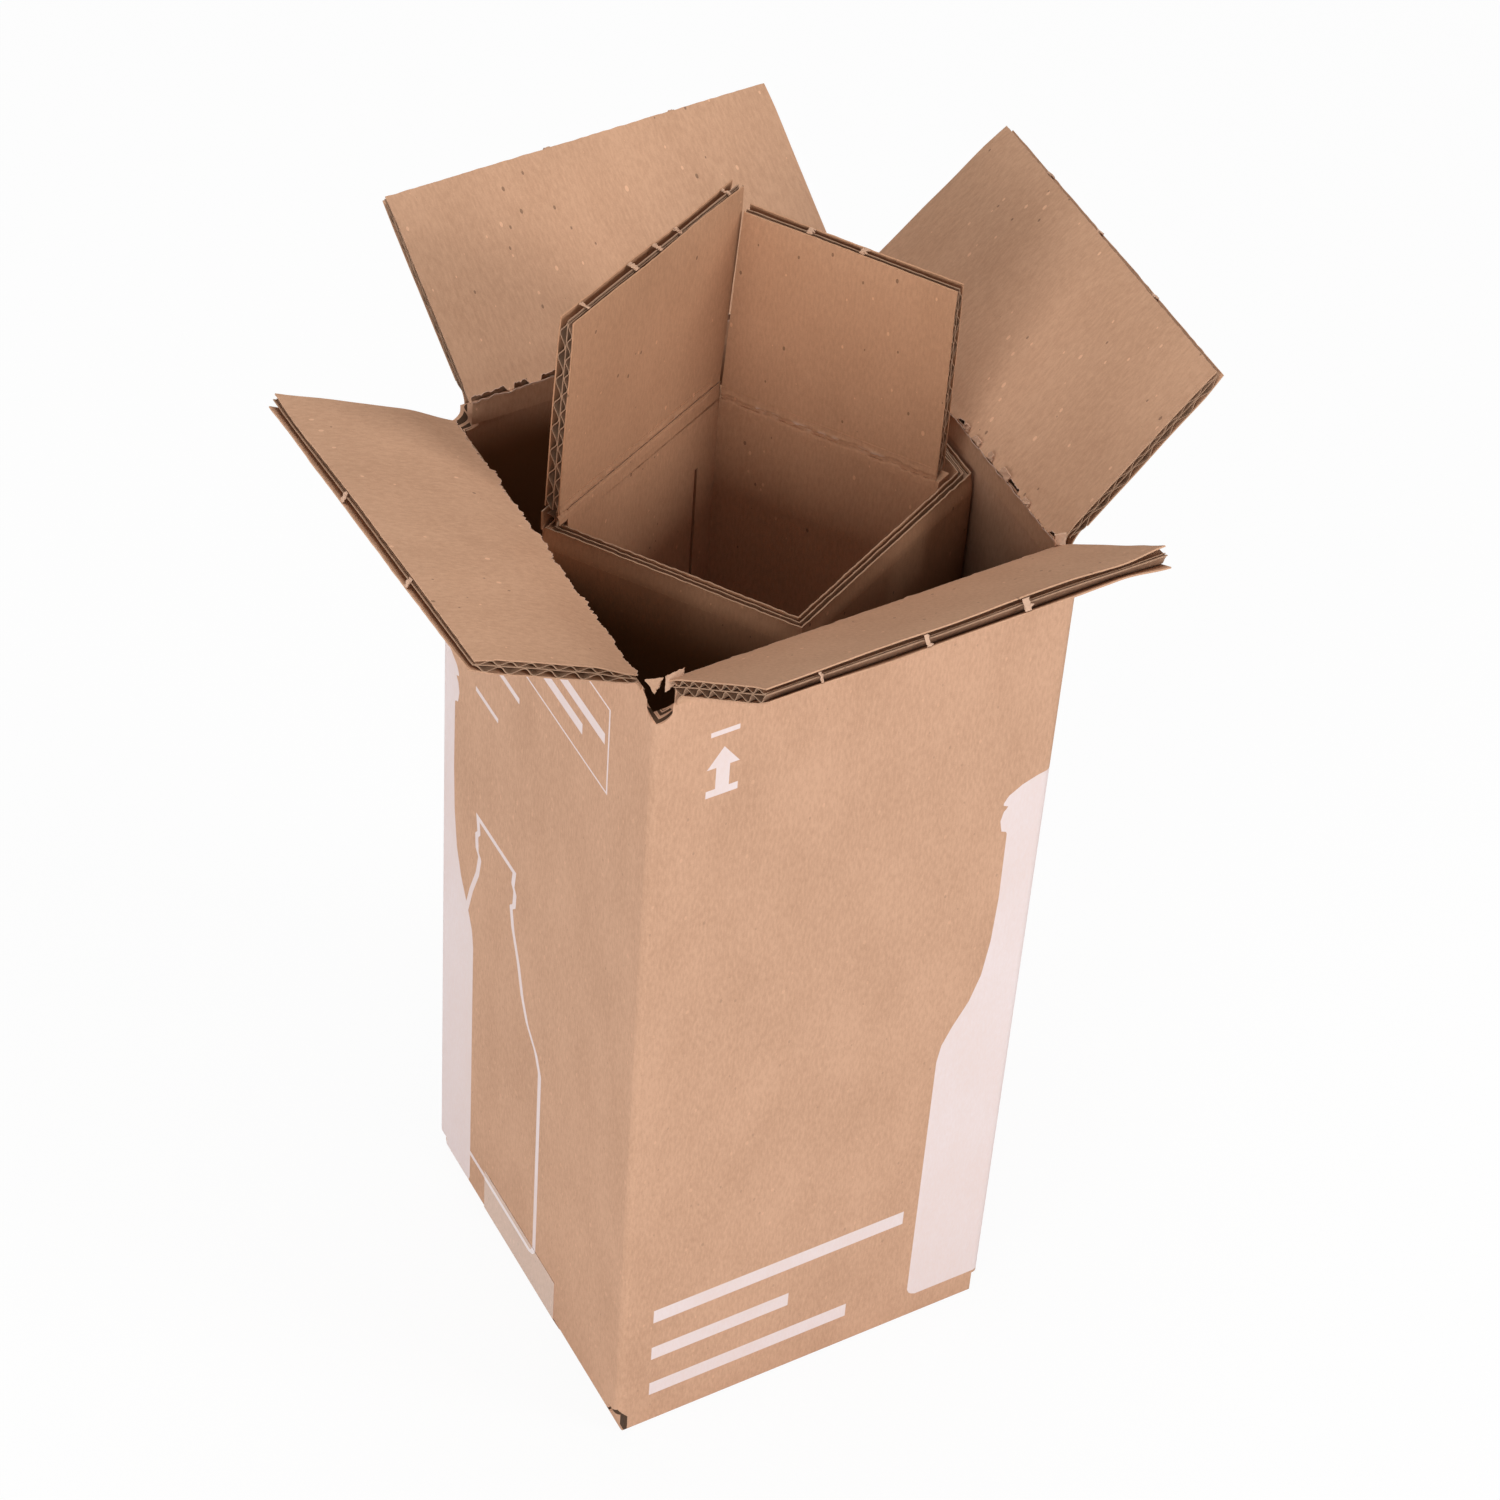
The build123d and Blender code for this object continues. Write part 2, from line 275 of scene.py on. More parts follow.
class PrintLayout:
    """One-colour print on the carton's outer faces: plain bars, an up arrow, a frame and bottle figures.

    Lengths are in millimetres. Each figure is centred or bounded on the face that carries it. The
    painted shade in the open flutes and the corner slot, and the painted shade of the inner walls, are laid
    out here too.
    """

    long_neck: Sequence[Tuple[float, float]] = (
        (0.0, 22.8), (1.2, 24.9), (3.6, 25.8), (113.0, 25.9), (120.0, 24.9), (127.0, 22.0),
        (136.0, 17.4), (146.0, 14.4), (160.0, 12.7), (178.0, 12.0), (205.5, 12.3), (206.5, 14.2),
        (211.0, 15.0), (215.0, 14.2), (216.0, 12.6), (217.4, 15.0), (220.5, 13.4), (223.5, 9.0),
        (225.6, 3.0), (226.0, 0.0),
    )
    stubby: Sequence[Tuple[float, float]] = (
        (0.0, 27.5), (1.5, 30.2), (4.0, 31.6), (88.0, 31.8), (95.0, 29.0), (102.0, 23.0),
        (110.0, 19.6), (122.0, 16.5), (133.0, 12.6), (141.0, 11.2), (143.0, 13.0), (149.0, 13.4),
        (151.0, 12.0), (158.0, 12.9),
    )
    text_bars: Sequence[Tuple[float, float, float]] = (
        (-52.0, 32.0, 53.6), (-52.0, -6.0, 35.4), (-52.0, 15.0, 17.6),
    )
    text_bar_height = 6.0
    arrow_x = -41.8
    arrow_tip = 292.8
    arrow_head = 285.6
    arrow_head_half = 4.8
    arrow_shaft_half = 2.0
    arrow_foot = (274.9, 277.6)
    arrow_foot_half = 4.7
    arrow_bar = (297.6, 299.4, 4.2)
    right_bottle = (62.6, 11.2)
    left_bottle = (65.4, 5.6)
    outline_bottle = (25.8, 20.4)
    outline_width = 2.0
    frame_box = (-38.0, 24.0, 260.8, 293.0)
    frame_width = 0.7
    label_bars: Sequence[Tuple[float, float, float, float]] = (
        (-35.5, 6.0, 277.8, 281.8), (-23.0, 6.0, 269.6, 273.6),
        (13.5, 30.0, 246.6, 248.8), (26.0, 40.0, 227.2, 229.0),
    )
    half_width = 62.5
    half_depth = 61.5
    skin = 1.2
    notch_from = (56.3, 55.3, 300.0)
    notch_depth = (0.72, 4.4)
    flute_rows = ((1.475, 7.9, 0.95, 0.24), (3.625, 6.3, 0.62, 0.2))
    middle_row = (2.7, 0.2)
    corner_slot = (5.5, 13.0)
    corner_left_slopes = (0.25, 0.92)
    corner_front_slopes = (1.5, 1.4)
    corner_front_reach = 3.6
    corner_skin = 2.2
    inner_skin = 4.5
    floor_level = 6.0
    # heights over which the painted shade inside the box fades out upwards; the right wall, where light
    # falls, gets less of it
    inner_shade_span = (296.0, 317.0)
    lit_reach = 6.0
    lit_share = 0.6
    overlap = 0.2

    def __init__(self, shader: Shader, place: Sock) -> None:
        """Keep the shader that the print is part of, and the piece's own coordinates."""
        self.shader = shader
        self.x, self.y, self.z = shader.millimetres(place)

    @staticmethod
    def rect(across: Sock, along: Sock, left: float, right: float, low: float, high: float) -> Sock:
        """A filled rectangle.

        Args:
            across: The place across the face.
            along: The place up the face.
            left: Its left side.
            right: Its right side.
            low: Its lower side.
            high: Its upper side.

        Returns:
            1 inside it, 0 elsewhere.
        """
        wide = abs(across - (left + right) / 2.0) < (right - left) / 2.0
        tall = abs(along - (low + high) / 2.0) < (high - low) / 2.0
        return wide * tall

    def half(self, profile: Sequence[Tuple[float, float]], base: float) -> Sock:
        """The half width of a bottle figure at this height.

        Args:
            profile: Heights above the base and half widths.
            base: The height of the base on the face.

        Returns:
            The half width, 0 outside the figure.
        """
        tall = profile[-1][0]
        wide = max(width for _, width in profile)
        stops = [(height / tall, width / wide) for height, width in profile]
        share = (self.z - base) / tall
        ramp = self.shader.add("ShaderNodeValToRGB", {"stops": stops}, {0: share})
        return ramp * wide * (share > 0.0) * (share < 1.0)

    def open_flute_shade(self) -> Sock:
        """Where the shade inside the open flutes is painted dark on the cut edges at the top corners.

        Returns:
            1 there, 0 elsewhere.
        """
        across, along = abs(self.x), abs(self.y)
        depth = (self.half_width - across).math("MINIMUM", self.half_depth - along)
        from_x, from_y, from_z = self.notch_from
        first, last = self.notch_depth
        cut = (across > from_x) * (along > from_y) * (self.z > from_z) * (depth > first) * (depth < last)
        middle, half = self.middle_row
        paper = abs(depth - middle) < half
        for centre, pitch, swing, half in self.flute_rows:
            wave = (self.z * (2.0 * math.pi / pitch)).math("SINE") * swing
            paper = paper.either(abs(depth - centre - wave) < half)
        return cut * (1.0 - paper)

    def open_corner_shade(self) -> Sock:
        """Where the shadow inside the slot at the near bottom corner is painted dark.

        Returns:
            1 there, 0 elsewhere.
        """
        on_left, on_front = self.y + self.half_depth, self.x + self.half_width
        low, high = self.corner_slot
        rise, fall = self.corner_left_slopes
        left = (self.z < high - on_left * fall) * (self.z > low + on_left * rise)
        drop, fall = self.corner_front_slopes
        front = (self.z < high - on_front * fall) * (self.z > low - on_front * drop)
        front = front * (on_front < self.corner_front_reach)
        near_left = (on_front < self.corner_skin) * (on_front < on_left)
        near_front = (on_left < self.corner_skin) * (on_left < on_front)
        return (left * near_left).either(front * near_front)

    def inside(self) -> Sock:
        """Where shade is painted on the paper that looks into the box, below the folds.

        Returns:
            1 there, less towards the folds and on the right wall where the light falls, 0 elsewhere.
        """
        within = abs(self.x) < self.half_width - self.inner_skin
        within = within * (abs(self.y) < self.half_depth - self.inner_skin) * (self.z > self.floor_level)
        lit = (self.x > self.half_width - self.lit_reach) * self.lit_share
        return within * (1.0 - self.z.eased(*self.inner_shade_span)) * (1.0 - lit)

    def mask(self) -> Sock:
        """Where the ink lies.

        Returns:
            1 there, 0 elsewhere.
        """
        x, y, z = self.x, self.y, self.z
        front = y < -self.half_depth + self.skin
        left = (x < -self.half_width + self.skin) * (1.0 - front)
        right = (x > self.half_width - self.skin) * (1.0 - front)
        back = (y > self.half_depth - self.skin) * (1.0 - left)
        half = self.arrow_foot_half
        ink = self.rect(x, z, self.arrow_x - half, self.arrow_x + half, *self.arrow_foot)
        shaft = self.rect(
            x, z, self.arrow_x - self.arrow_shaft_half, self.arrow_x + self.arrow_shaft_half,
            self.arrow_foot[1] - self.overlap, self.arrow_head + self.overlap,
        )
        slope = self.arrow_head_half / (self.arrow_tip - self.arrow_head)
        head = (abs(x - self.arrow_x) < (self.arrow_tip - z) * slope) * (z > self.arrow_head)
        ink = ink.either(shaft).either(head)
        low, high, half = self.arrow_bar
        ink = ink.either(self.rect(x, z, self.arrow_x - half, self.arrow_x + half, low, high))
        for start, end, middle in self.text_bars:
            tall = self.text_bar_height / 2.0
            ink = ink.either(self.rect(x, z, start, end, middle - tall, middle + tall))
        centre, base = self.right_bottle
        width = self.half(self.long_neck, base)
        ink = (ink.either(abs(x - centre) < width)) * front
        turn = self.half_width + self.half_depth
        ink = ink.either((abs(y + (turn - centre)) < width) * right)
        centre, base = self.left_bottle
        width = self.half(self.long_neck, base)
        side = abs(y - centre) < width
        around = (abs(x + (turn - centre)) < width) * back
        centre, base = self.outline_bottle
        width = self.half(self.stubby, base)
        away = abs(y - centre)
        hollow = (away < width - self.outline_width) * (z > base + self.outline_width)
        hollow = hollow * (z < base + self.stubby[-1][0] - self.outline_width)
        side = side.either((away < width) * (1.0 - hollow))
        first, last, low, high = self.frame_box
        thin = self.frame_width
        inner = self.rect(y, z, first + thin, last - thin, low + thin, high - thin)
        side = side.either(self.rect(y, z, first, last, low, high) * (1.0 - inner))
        for first, last, low, high in self.label_bars:
            side = side.either(self.rect(y, z, first, last, low, high))
        return ink.either(side * left).either(around)


@dataclass(frozen=True)
class KraftFinish:
    """Kraft liner paper: fibres along the run of the machine, clouds, flecks and a dull surface; some
    finishes add painted shade.
    """

    fibre_scale: ClassVar[Sequence[float]] = (1500.0, 1500.0, 420.0)
    cloud_scale: ClassVar[Sequence[float]] = (60.0, 60.0, 28.0)
    fibre_detail: ClassVar[float] = 3.0
    grit_scale: ClassVar[float] = 2600.0
    grit_detail: ClassVar[float] = 1.0
    mottle: ClassVar[Sequence[float]] = (1.8, 1.15, 0.8)
    mottle_start: ClassVar[float] = 0.42
    fleck_stretch: ClassVar[float] = 0.55
    dark_fleck: ClassVar[Sequence[float]] = (430.0, 0.18, 0.80, 0.42)
    light_fleck: ClassVar[Sequence[float]] = (400.0, 0.20, 0.76, 1.30)
    lightest: ClassVar[float] = 0.95
    torn_cover: ClassVar[float] = 0.85
    inner_shade_cover: ClassVar[float] = 0.95
    ink_cover: ClassVar[Sequence[float]] = (0.86, 0.25)
    # painted shade colour of the open flutes and the corner slot
    opening_shade_colour: ClassVar[Colour] = (0.075, 0.040, 0.022)
    relief: ClassVar[Sequence[float]] = (0.6, 0.5, 0.25)
    relief_strength: ClassVar[float] = 0.22
    relief_depth: ClassVar[float] = 0.0003
    shine: ClassVar[float] = 0.25
    coat_roughness: ClassVar[float] = 0.18
    name: str
    tint: Colour
    deep: Colour
    torn: Colour
    roughness: float = 0.86
    printed: bool = False
    ink: Colour = (0.84, 0.73, 0.725)
    # painted shade colour: the dark inside of the box and the lower parts of the sleeve's outer faces
    inner: Colour = (0.19, 0.082, 0.030)
    # heights below which painted shade fades in downwards; empty for none
    painted_shade_heights: Tuple[float, ...] = ()
    coat: float = 0.0
    flecked: float = 0.75

    def build(self, rows: Optional[Sequence[Vector]] = None) -> bpy.types.Material:
        """Make the material.

        Args:
            rows: Directions along the fold, through the board and along the fibres.

        Returns:
            The material.
        """
        shader = Shader(self.name)
        place = shader.place()
        turned = shader.turned(place, rows) if rows else place
        parts = [
            shader.noise(shader.stretched(turned, scale), 1.0, self.fibre_detail) - 0.5
            for scale in (self.fibre_scale, self.cloud_scale)
        ]
        varied = parts[1] + parts[0]
        parts.append(shader.noise(turned, self.grit_scale, self.grit_detail) - 0.5)
        level = self.mottle_start + sum(part * share for part, share in zip(parts, self.mottle))
        colour = shader.blend(level, self.tint, self.deep)
        for paper, (scale, reach, keep, strength) in (
            (self.deep, self.dark_fleck), (self.tint, self.light_fleck),
        ):
            place_in = shader.stretched(turned, (scale, scale, scale * self.fleck_stretch))
            cells = shader.add("ShaderNodeTexVoronoi", None, {"Vector": place_in, "Scale": 1.0}, "Distance")
            chance = shader.split(Sock(shader, cells.socket.node.outputs["Color"]))[0]
            pick = (chance - keep) * (reach / (1.0 - keep))
            fleck = tuple(min(self.lightest, strength * part) for part in paper)
            colour = shader.blend((cells < pick) * self.flecked, colour, fleck)
        torn = shader.add("ShaderNodeAttribute", {"attribute_name": "torn"}, out="Fac")
        colour = shader.blend(torn * self.torn_cover, colour, self.torn)
        # painted shade: the paper darkens towards the bottom below the given heights
        if self.painted_shade_heights:
            _, _, up = shader.millimetres(place)
            colour = shader.blend(1.0 - up.eased(*self.painted_shade_heights), colour, self.inner)
        if self.printed:
            layout = PrintLayout(shader, place)
            # painted shade inside the box, darker downwards and lighter on the right wall where light falls
            colour = shader.blend(layout.inside() * self.inner_shade_cover, colour, self.inner)
            # painted shade in the open flutes and the near bottom slot
            opening_shades = layout.open_flute_shade().either(layout.open_corner_shade())
            colour = shader.blend(opening_shades, colour, self.opening_shade_colour)
            full, change = self.ink_cover
            colour = shader.blend(layout.mask() * (full + varied * change), colour, self.ink)
        bump = shader.add(
            "ShaderNodeBump", None,
            {
                "Strength": self.relief_strength, "Distance": self.relief_depth,
                "Height": sum(part * share for part, share in zip(parts, self.relief)),
            },
            "Normal",
        )
        surface = shader.add(
            "ShaderNodeBsdfPrincipled", None,
            {
                "Base Color": colour, "Roughness": self.roughness, "Specular IOR Level": self.shine,
                "Normal": bump, "Coat Weight": self.coat, "Coat Roughness": self.coat_roughness,
            },
        )
        return shader.finish(surface)


@dataclass(frozen=True)
class FloorFinish:
    """Pale studio floor that the camera sees white, with the shadow kept."""

    name: str = "pale_floor"
    tint: Colour = (0.9, 0.9, 0.9)
    lift: float = 0.94

    def build(self) -> bpy.types.Material:
        """Make the material.

        Returns:
            The material.
        """
        shader = Shader(self.name)
        plain = shader.add("ShaderNodeBsdfDiffuse", None, {"Color": (*self.tint, 1.0)})
        glow = shader.add("ShaderNodeEmission", None, {"Color": (1.0, 1.0, 1.0, 1.0), "Strength": 1.0})
        seen = shader.add("ShaderNodeLightPath", out="Is Camera Ray")
        rays = seen.socket.node.outputs
        for ray in ("Is Glossy Ray", "Is Transmission Ray"):
            seen = seen.either(Sock(shader, rays[ray]))
        both = shader.add("ShaderNodeMixShader", None, {0: seen * self.lift, 1: plain, 2: glow})
        return shader.finish(both)


class Palette:
    """The finishes of the box, made once each and turned to lie along a board's fibres."""

    carton = KraftFinish(
        "kraft_carton", (0.636, 0.379, 0.249), (0.512, 0.295, 0.186), (0.72, 0.52, 0.41), printed=True,
        flecked=0.28,
    )
    flap = KraftFinish("kraft_flap", (0.600, 0.355, 0.225), (0.490, 0.280, 0.172), (0.72, 0.52, 0.41))
    insert = KraftFinish("kraft_insert", (0.560, 0.305, 0.178), (0.455, 0.242, 0.137), (0.70, 0.50, 0.38))
    # the sleeve's first face towards the carton: a darker paper, with painted shade towards the bottom
    insert_outside = KraftFinish(
        "kraft_insert_outside", (0.50, 0.27, 0.155), (0.40, 0.215, 0.12), (0.50, 0.34, 0.25),
        painted_shade_heights=(280.0, 306.5),
    )
    # the other faces towards the carton: the same paper, with its painted shade starting lower so they read
    # lighter
    insert_right = KraftFinish(
        "kraft_insert_right", (0.50, 0.27, 0.155), (0.40, 0.215, 0.12), (0.50, 0.34, 0.25),
        painted_shade_heights=(258.0, 298.0),
    )
    clear_tape = KraftFinish(
        "clear_tape", (0.630, 0.402, 0.285), (0.520, 0.325, 0.225), (0.72, 0.52, 0.41),
        roughness=0.6, printed=True, coat=0.7, flecked=0.28,
    )
    flute = KraftFinish(
        "kraft_flute", (0.42, 0.26, 0.17), (0.32, 0.19, 0.12), (0.66, 0.48, 0.37), roughness=0.92,
    )

    def __init__(self) -> None:
        """Make the finishes that need no turning."""
        self.carton_paper = self.carton.build()
        self.flap_paper = self.flap.build()
        self.flute_paper = self.flute.build()
        self.tape = self.clear_tape.build()
        self.floor = FloorFinish().build()


class Ply(Enum):
    """The papers of double-wall board, from the inner liner out."""

    INNER = "inner liner"
    FINE = "fine flute"
    MIDDLE = "middle liner"
    COARSE = "coarse flute"
    OUTER = "outer liner"


@dataclass(frozen=True)
class Board:
    """Double-wall board; all in millimetres, measured from the inner face out."""

    inner: float = 0.4
    fine: float = 1.55
    middle: float = 0.3
    coarse: float = 2.15
    outer: float = 0.4
    flute_paper: float = 0.26

    @property
    def thickness(self) -> float:
        """The whole board."""
        return self.inner + self.fine + self.middle + self.coarse + self.outer

    def centre(self, ply: Ply) -> float:
        """The middle of a ply.

        Args:
            ply: The ply.

        Returns:
            Its depth from the inner face.
        """
        starts = {
            Ply.INNER: (0.0, self.inner),
            Ply.FINE: (self.inner, self.fine),
            Ply.MIDDLE: (self.inner + self.fine, self.middle),
            Ply.COARSE: (self.inner + self.fine + self.middle, self.coarse),
            Ply.OUTER: (self.thickness - self.outer, self.outer),
        }
        start, deep = starts[ply]
        return start + deep / 2.0

    def paper(self, ply: Ply) -> float:
        """The thickness of a ply's own paper."""
        papers = {Ply.INNER: self.inner, Ply.MIDDLE: self.middle, Ply.OUTER: self.outer}
        return papers.get(ply, self.flute_paper)

    def swing(self, ply: Ply) -> float:
        """How far a flute's paper swings to each side of its middle."""
        rows = {Ply.FINE: self.fine, Ply.COARSE: self.coarse}
        return (rows[ply] - self.flute_paper) / 2.0 if ply in rows else 0.0


BOARD = Board()


class PaperMesh:
    """A mesh gathered from thin paper sheets, each with its own place in the material list."""

    scrap_steps = (9, 9)
    scrap_rag = 0.2
    scrap_rag_step = 1.1
    scrap_rag_run = (7.0, 5.0)

    def __init__(self, name: str) -> None:
        """Start an empty mesh with a layer for torn paper.

        Args:
            name: The name of the piece.
        """
        self.name = name
        self.bm = bmesh.new()
        self.torn = self.bm.verts.layers.float.new("torn")

    def sheet(
        self,
        shape: Callable[[float, float], Vector],
        steps: Tuple[int, int],
        thick: float,
        torn: Optional[Callable[[float, float], float]] = None,
        slot: int = 0,
    ) -> None:
        """Add one sheet.

        Args:
            shape: Gives the point in millimetres at two shares, 0 to 1, along the sheet.
            steps: Divisions each way.
            thick: Paper thickness in millimetres.
            torn: How torn the paper is at two shares.
            slot: The material's place in the object's list.
        """
        made = bmesh.ops.create_grid(self.bm, x_segments=steps[0], y_segments=steps[1], size=0.5)
        corners = made["verts"]
        for vert in corners:
            first, second = vert.co.x + 0.5, vert.co.y + 0.5
            vert[self.torn] = torn(first, second) if torn else 0.0
            vert.co = shape(first, second) * MM
        faces = list(dict.fromkeys(face for vert in corners for face in vert.link_faces))
        for face in faces:
            face.material_index = slot
            face.smooth = True
        bmesh.ops.recalc_face_normals(self.bm, faces=faces)
        self.bm.normal_update()
        for vert in corners:
            vert.co += vert.normal * (thick * MM / 2.0)
        bmesh.ops.solidify(self.bm, geom=faces, thickness=thick * MM)

    def patch(self, corners: Sequence[Vector], thick: float, torn: float, seed: float) -> None:
        """Add a small torn piece of liner between four corners.

        Args:
            corners: Four points in millimetres, in order round the piece.
            thick: Paper thickness in millimetres.
            torn: How torn the paper is.
            seed: Chooses its ragged outline.
        """
        first, second, third, fourth = corners

        def shape(u: float, v: float) -> Vector:
            """The point of the scrap.

            Args:
                u: Share of its width.
                v: Share of its height.

            Returns:
                The point in millimetres.
            """
            flat = first.lerp(second, u).lerp(fourth.lerp(third, u), v)
            run = u * self.scrap_rag_run[0] + v * self.scrap_rag_run[1]
            rag = Vector([rough_line(run + axis, seed + axis, self.scrap_rag_step) for axis in range(3)])
            return flat + rag * self.scrap_rag

        self.sheet(shape, self.scrap_steps, thick, lambda u, v: torn)

    def finish(self, materials: Sequence[bpy.types.Material]) -> bpy.types.Object:
        """Make the object.

        Args:
            materials: The material list.

        Returns:
            The object, at the origin.
        """
        bmesh.ops.recalc_face_normals(self.bm, faces=self.bm.faces[:])
        mesh = bpy.data.meshes.new(self.name)
        self.bm.to_mesh(mesh)
        self.bm.free()
        for face in mesh.polygons:
            face.use_smooth = True
        mesh.set_sharp_from_angle(angle=PAPER_CREASE)
        for material in materials:
            mesh.materials.append(material)
        piece = bpy.data.objects.new(self.name, mesh)
        bpy.context.scene.collection.objects.link(piece)
        return piece


class FoldStyle(Enum):
    """How the inner liner looks along a flap's fold."""

    RAGGED = "torn teeth that hang over the edge"
    SLIT = "torn open in a row of slits"
    CREASED = "whole, with a few torn spots"


@dataclass
class Flap:
    """One hinged flap of layered board.

    Lengths are in millimetres. The fold is on the inner liner, the angle is from upright, and the
    spans run along the fold from its middle.
    """

    wave_height: ClassVar[float] = 0.25
    wave_step: ClassVar[float] = 40.0
    wave_slant: ClassVar[float] = 3.0
    edge_run: ClassVar[float] = 7.0
    edge_press: ClassVar[float] = 0.22
    edge_press_change: ClassVar[float] = 0.16
    edge_press_step: ClassVar[float] = 26.0
    splay_runs: ClassVar[Tuple[float, float]] = (10.0, 14.0)
    band_lap: ClassVar[float] = 0.6
    root_gap: ClassVar[float] = 0.5
    root_rag: ClassVar[float] = 0.2
    root_rag_step: ClassVar[float] = 3.0
    teeth: ClassVar[Sequence[Tuple[float, float, float]]] = (
        (0.0, 0.75, 0.75), (0.7, 2.4, 0.8), (1.3, 8.0, 0.45),
    )
    hook_from: ClassVar[Tuple[float, float]] = (0.35, 0.75)
    hook_step: ClassVar[float] = 5.0
    hook_length: ClassVar[float] = 0.7
    slit_rag: ClassVar[float] = 0.4
    slit_lap: ClassVar[float] = 0.9
    crease_rag: ClassVar[float] = 0.12
    bridge_blur: ClassVar[float] = 0.08
    bridge_step: ClassVar[float] = 7.0
    tip_rag: ClassVar[float] = 0.10
    tip_rag_step: ClassVar[float] = 2.4
    tip_steps: ClassVar[Mapping[Ply, float]] = {
        Ply.INNER: 0.0, Ply.FINE: -0.9, Ply.MIDDLE: -0.15, Ply.COARSE: -1.1, Ply.OUTER: 0.15,
    }
    flute_phases: ClassVar[Mapping[Ply, float]] = {Ply.FINE: 0.25, Ply.COARSE: 0.6}
    root_crowding: ClassVar[float] = 1.7
    wave_divisions: ClassVar[int] = 12
    run_divisions: ClassVar[Mapping[Ply, int]] = {Ply.INNER: 26, Ply.MIDDLE: 14, Ply.OUTER: 14}
    side_divisions: ClassVar[Mapping[Ply, int]] = {
        Ply.INNER: 380, Ply.FINE: 24, Ply.MIDDLE: 60, Ply.COARSE: 24, Ply.OUTER: 60,
    }
    nick_half: ClassVar[Tuple[float, float]] = (0.75, 0.45)
    nick_waist: ClassVar[Tuple[float, float]] = (0.75, 0.35)
    nick_drift: ClassVar[float] = 0.5
    nick_depth: ClassVar[Tuple[float, float]] = (0.14, 0.72)
    nick_lift: ClassVar[Tuple[float, float]] = (0.25, 0.18)
    nick_steps: ClassVar[Tuple[int, int]] = (8, 5)
    nick_torn: ClassVar[float] = 0.45
    nick_paper: ClassVar[float] = 0.4
    chip_torn: ClassVar[float] = 0.3
    chip_paper: ClassVar[float] = 0.35
    body: str
    pivot: Vector
    lean_side: Vector
    along: Vector
    angle: float
    length: float
    root_span: Tuple[float, float]
    tip_span: Tuple[float, float]
    fold: FoldStyle
    seed: int
    board_leans: bool = True
    mitre: float = 0.92
    waves: Tuple[int, int] = (9, 7)
    twist: float = 0.0
    nicks: Sequence[float] = ()
    splay: Tuple[float, float] = (0.0, 0.0)
    root_at: float = 0.0
    rag: float = 0.55
    whole: float = 0.32
    undercut: float = 0.0
    crush: float = 0.5
    crush_run: float = 8.0
    band_run: float = 8.0
    chips: Sequence[Sequence[Vector]] = ()
    slot: str = "kraft_carton"

    def lean(self, s: float) -> float:
        """The angle from upright.

        Args:
            s: Place along the fold.

        Returns:
            The angle in radians.
        """
        low, high = self.tip_span
        share = (s - (low + high) / 2.0) / ((high - low) / 2.0)
        return math.radians(self.angle + self.twist * share)

    def frame(self, s: float) -> Tuple[Vector, Vector]:
        """The run and the outward normal of the board.

        Args:
            s: Place along the fold.

        Returns:
            Run from the fold to the free edge, and normal from the inner liner out.
        """
        lean = self.lean(s)
        run = self.lean_side * math.sin(lean) + UP * math.cos(lean)
        side = 1.0 if self.board_leans else -1.0
        normal = (self.lean_side * math.cos(lean) - UP * math.sin(lean)) * side
        return run, normal

    def point(self, b: float, a: float, s: float) -> Vector:
        """A point of the board.

        Args:
            b: Distance from the fold.
            a: Depth from the inner face out.
            s: Place along the fold.

        Returns:
            The point in millimetres.
        """
        run, normal = self.frame(s)
        wave = self.wave_height * rough_line(s + self.wave_slant * b, self.seed, self.wave_step)
        bend = wave * max(0.0, b / self.length)
        return self.pivot + self.along * s + run * b + normal * (a + bend)

    def span(self, b: float) -> Tuple[float, float]:
        """The ends of the flap at a distance from the fold."""
        share = min(1.0, max(0.0, b / self.length))
        return tuple(r + (t - r) * share for r, t in zip(self.root_span, self.tip_span))

    def squeeze(self, a: float, b: float, s: float) -> float:
        """The depth of a ply after the cut edges are pressed together or splay.

        Args:
            a: Depth in flat board.
            b: Distance from the fold.
            s: Place along the fold.

        Returns:
            The depth.
        """
        thick = BOARD.thickness
        middle = thick / 2.0
        fold = self.crush * (1.0 - smooth_step(self.root_at, self.crush_run, b))
        a = a + (thick - a) / thick * fold
        edge = smooth_step(self.length - self.edge_run, self.length, b)
        change = rough_line(s, self.seed + 0.5, self.edge_press_step)
        press = self.edge_press + self.edge_press_change * change
        low, high = self.span(b)
        near = (1.0 - smooth_step(0.0, self.splay_runs[0], s - low)) * self.splay[0]
        far = (1.0 - smooth_step(0.0, self.splay_runs[1], high - s)) * self.splay[1]
        return middle + (a - middle) * (1.0 + edge * (near + far - press))

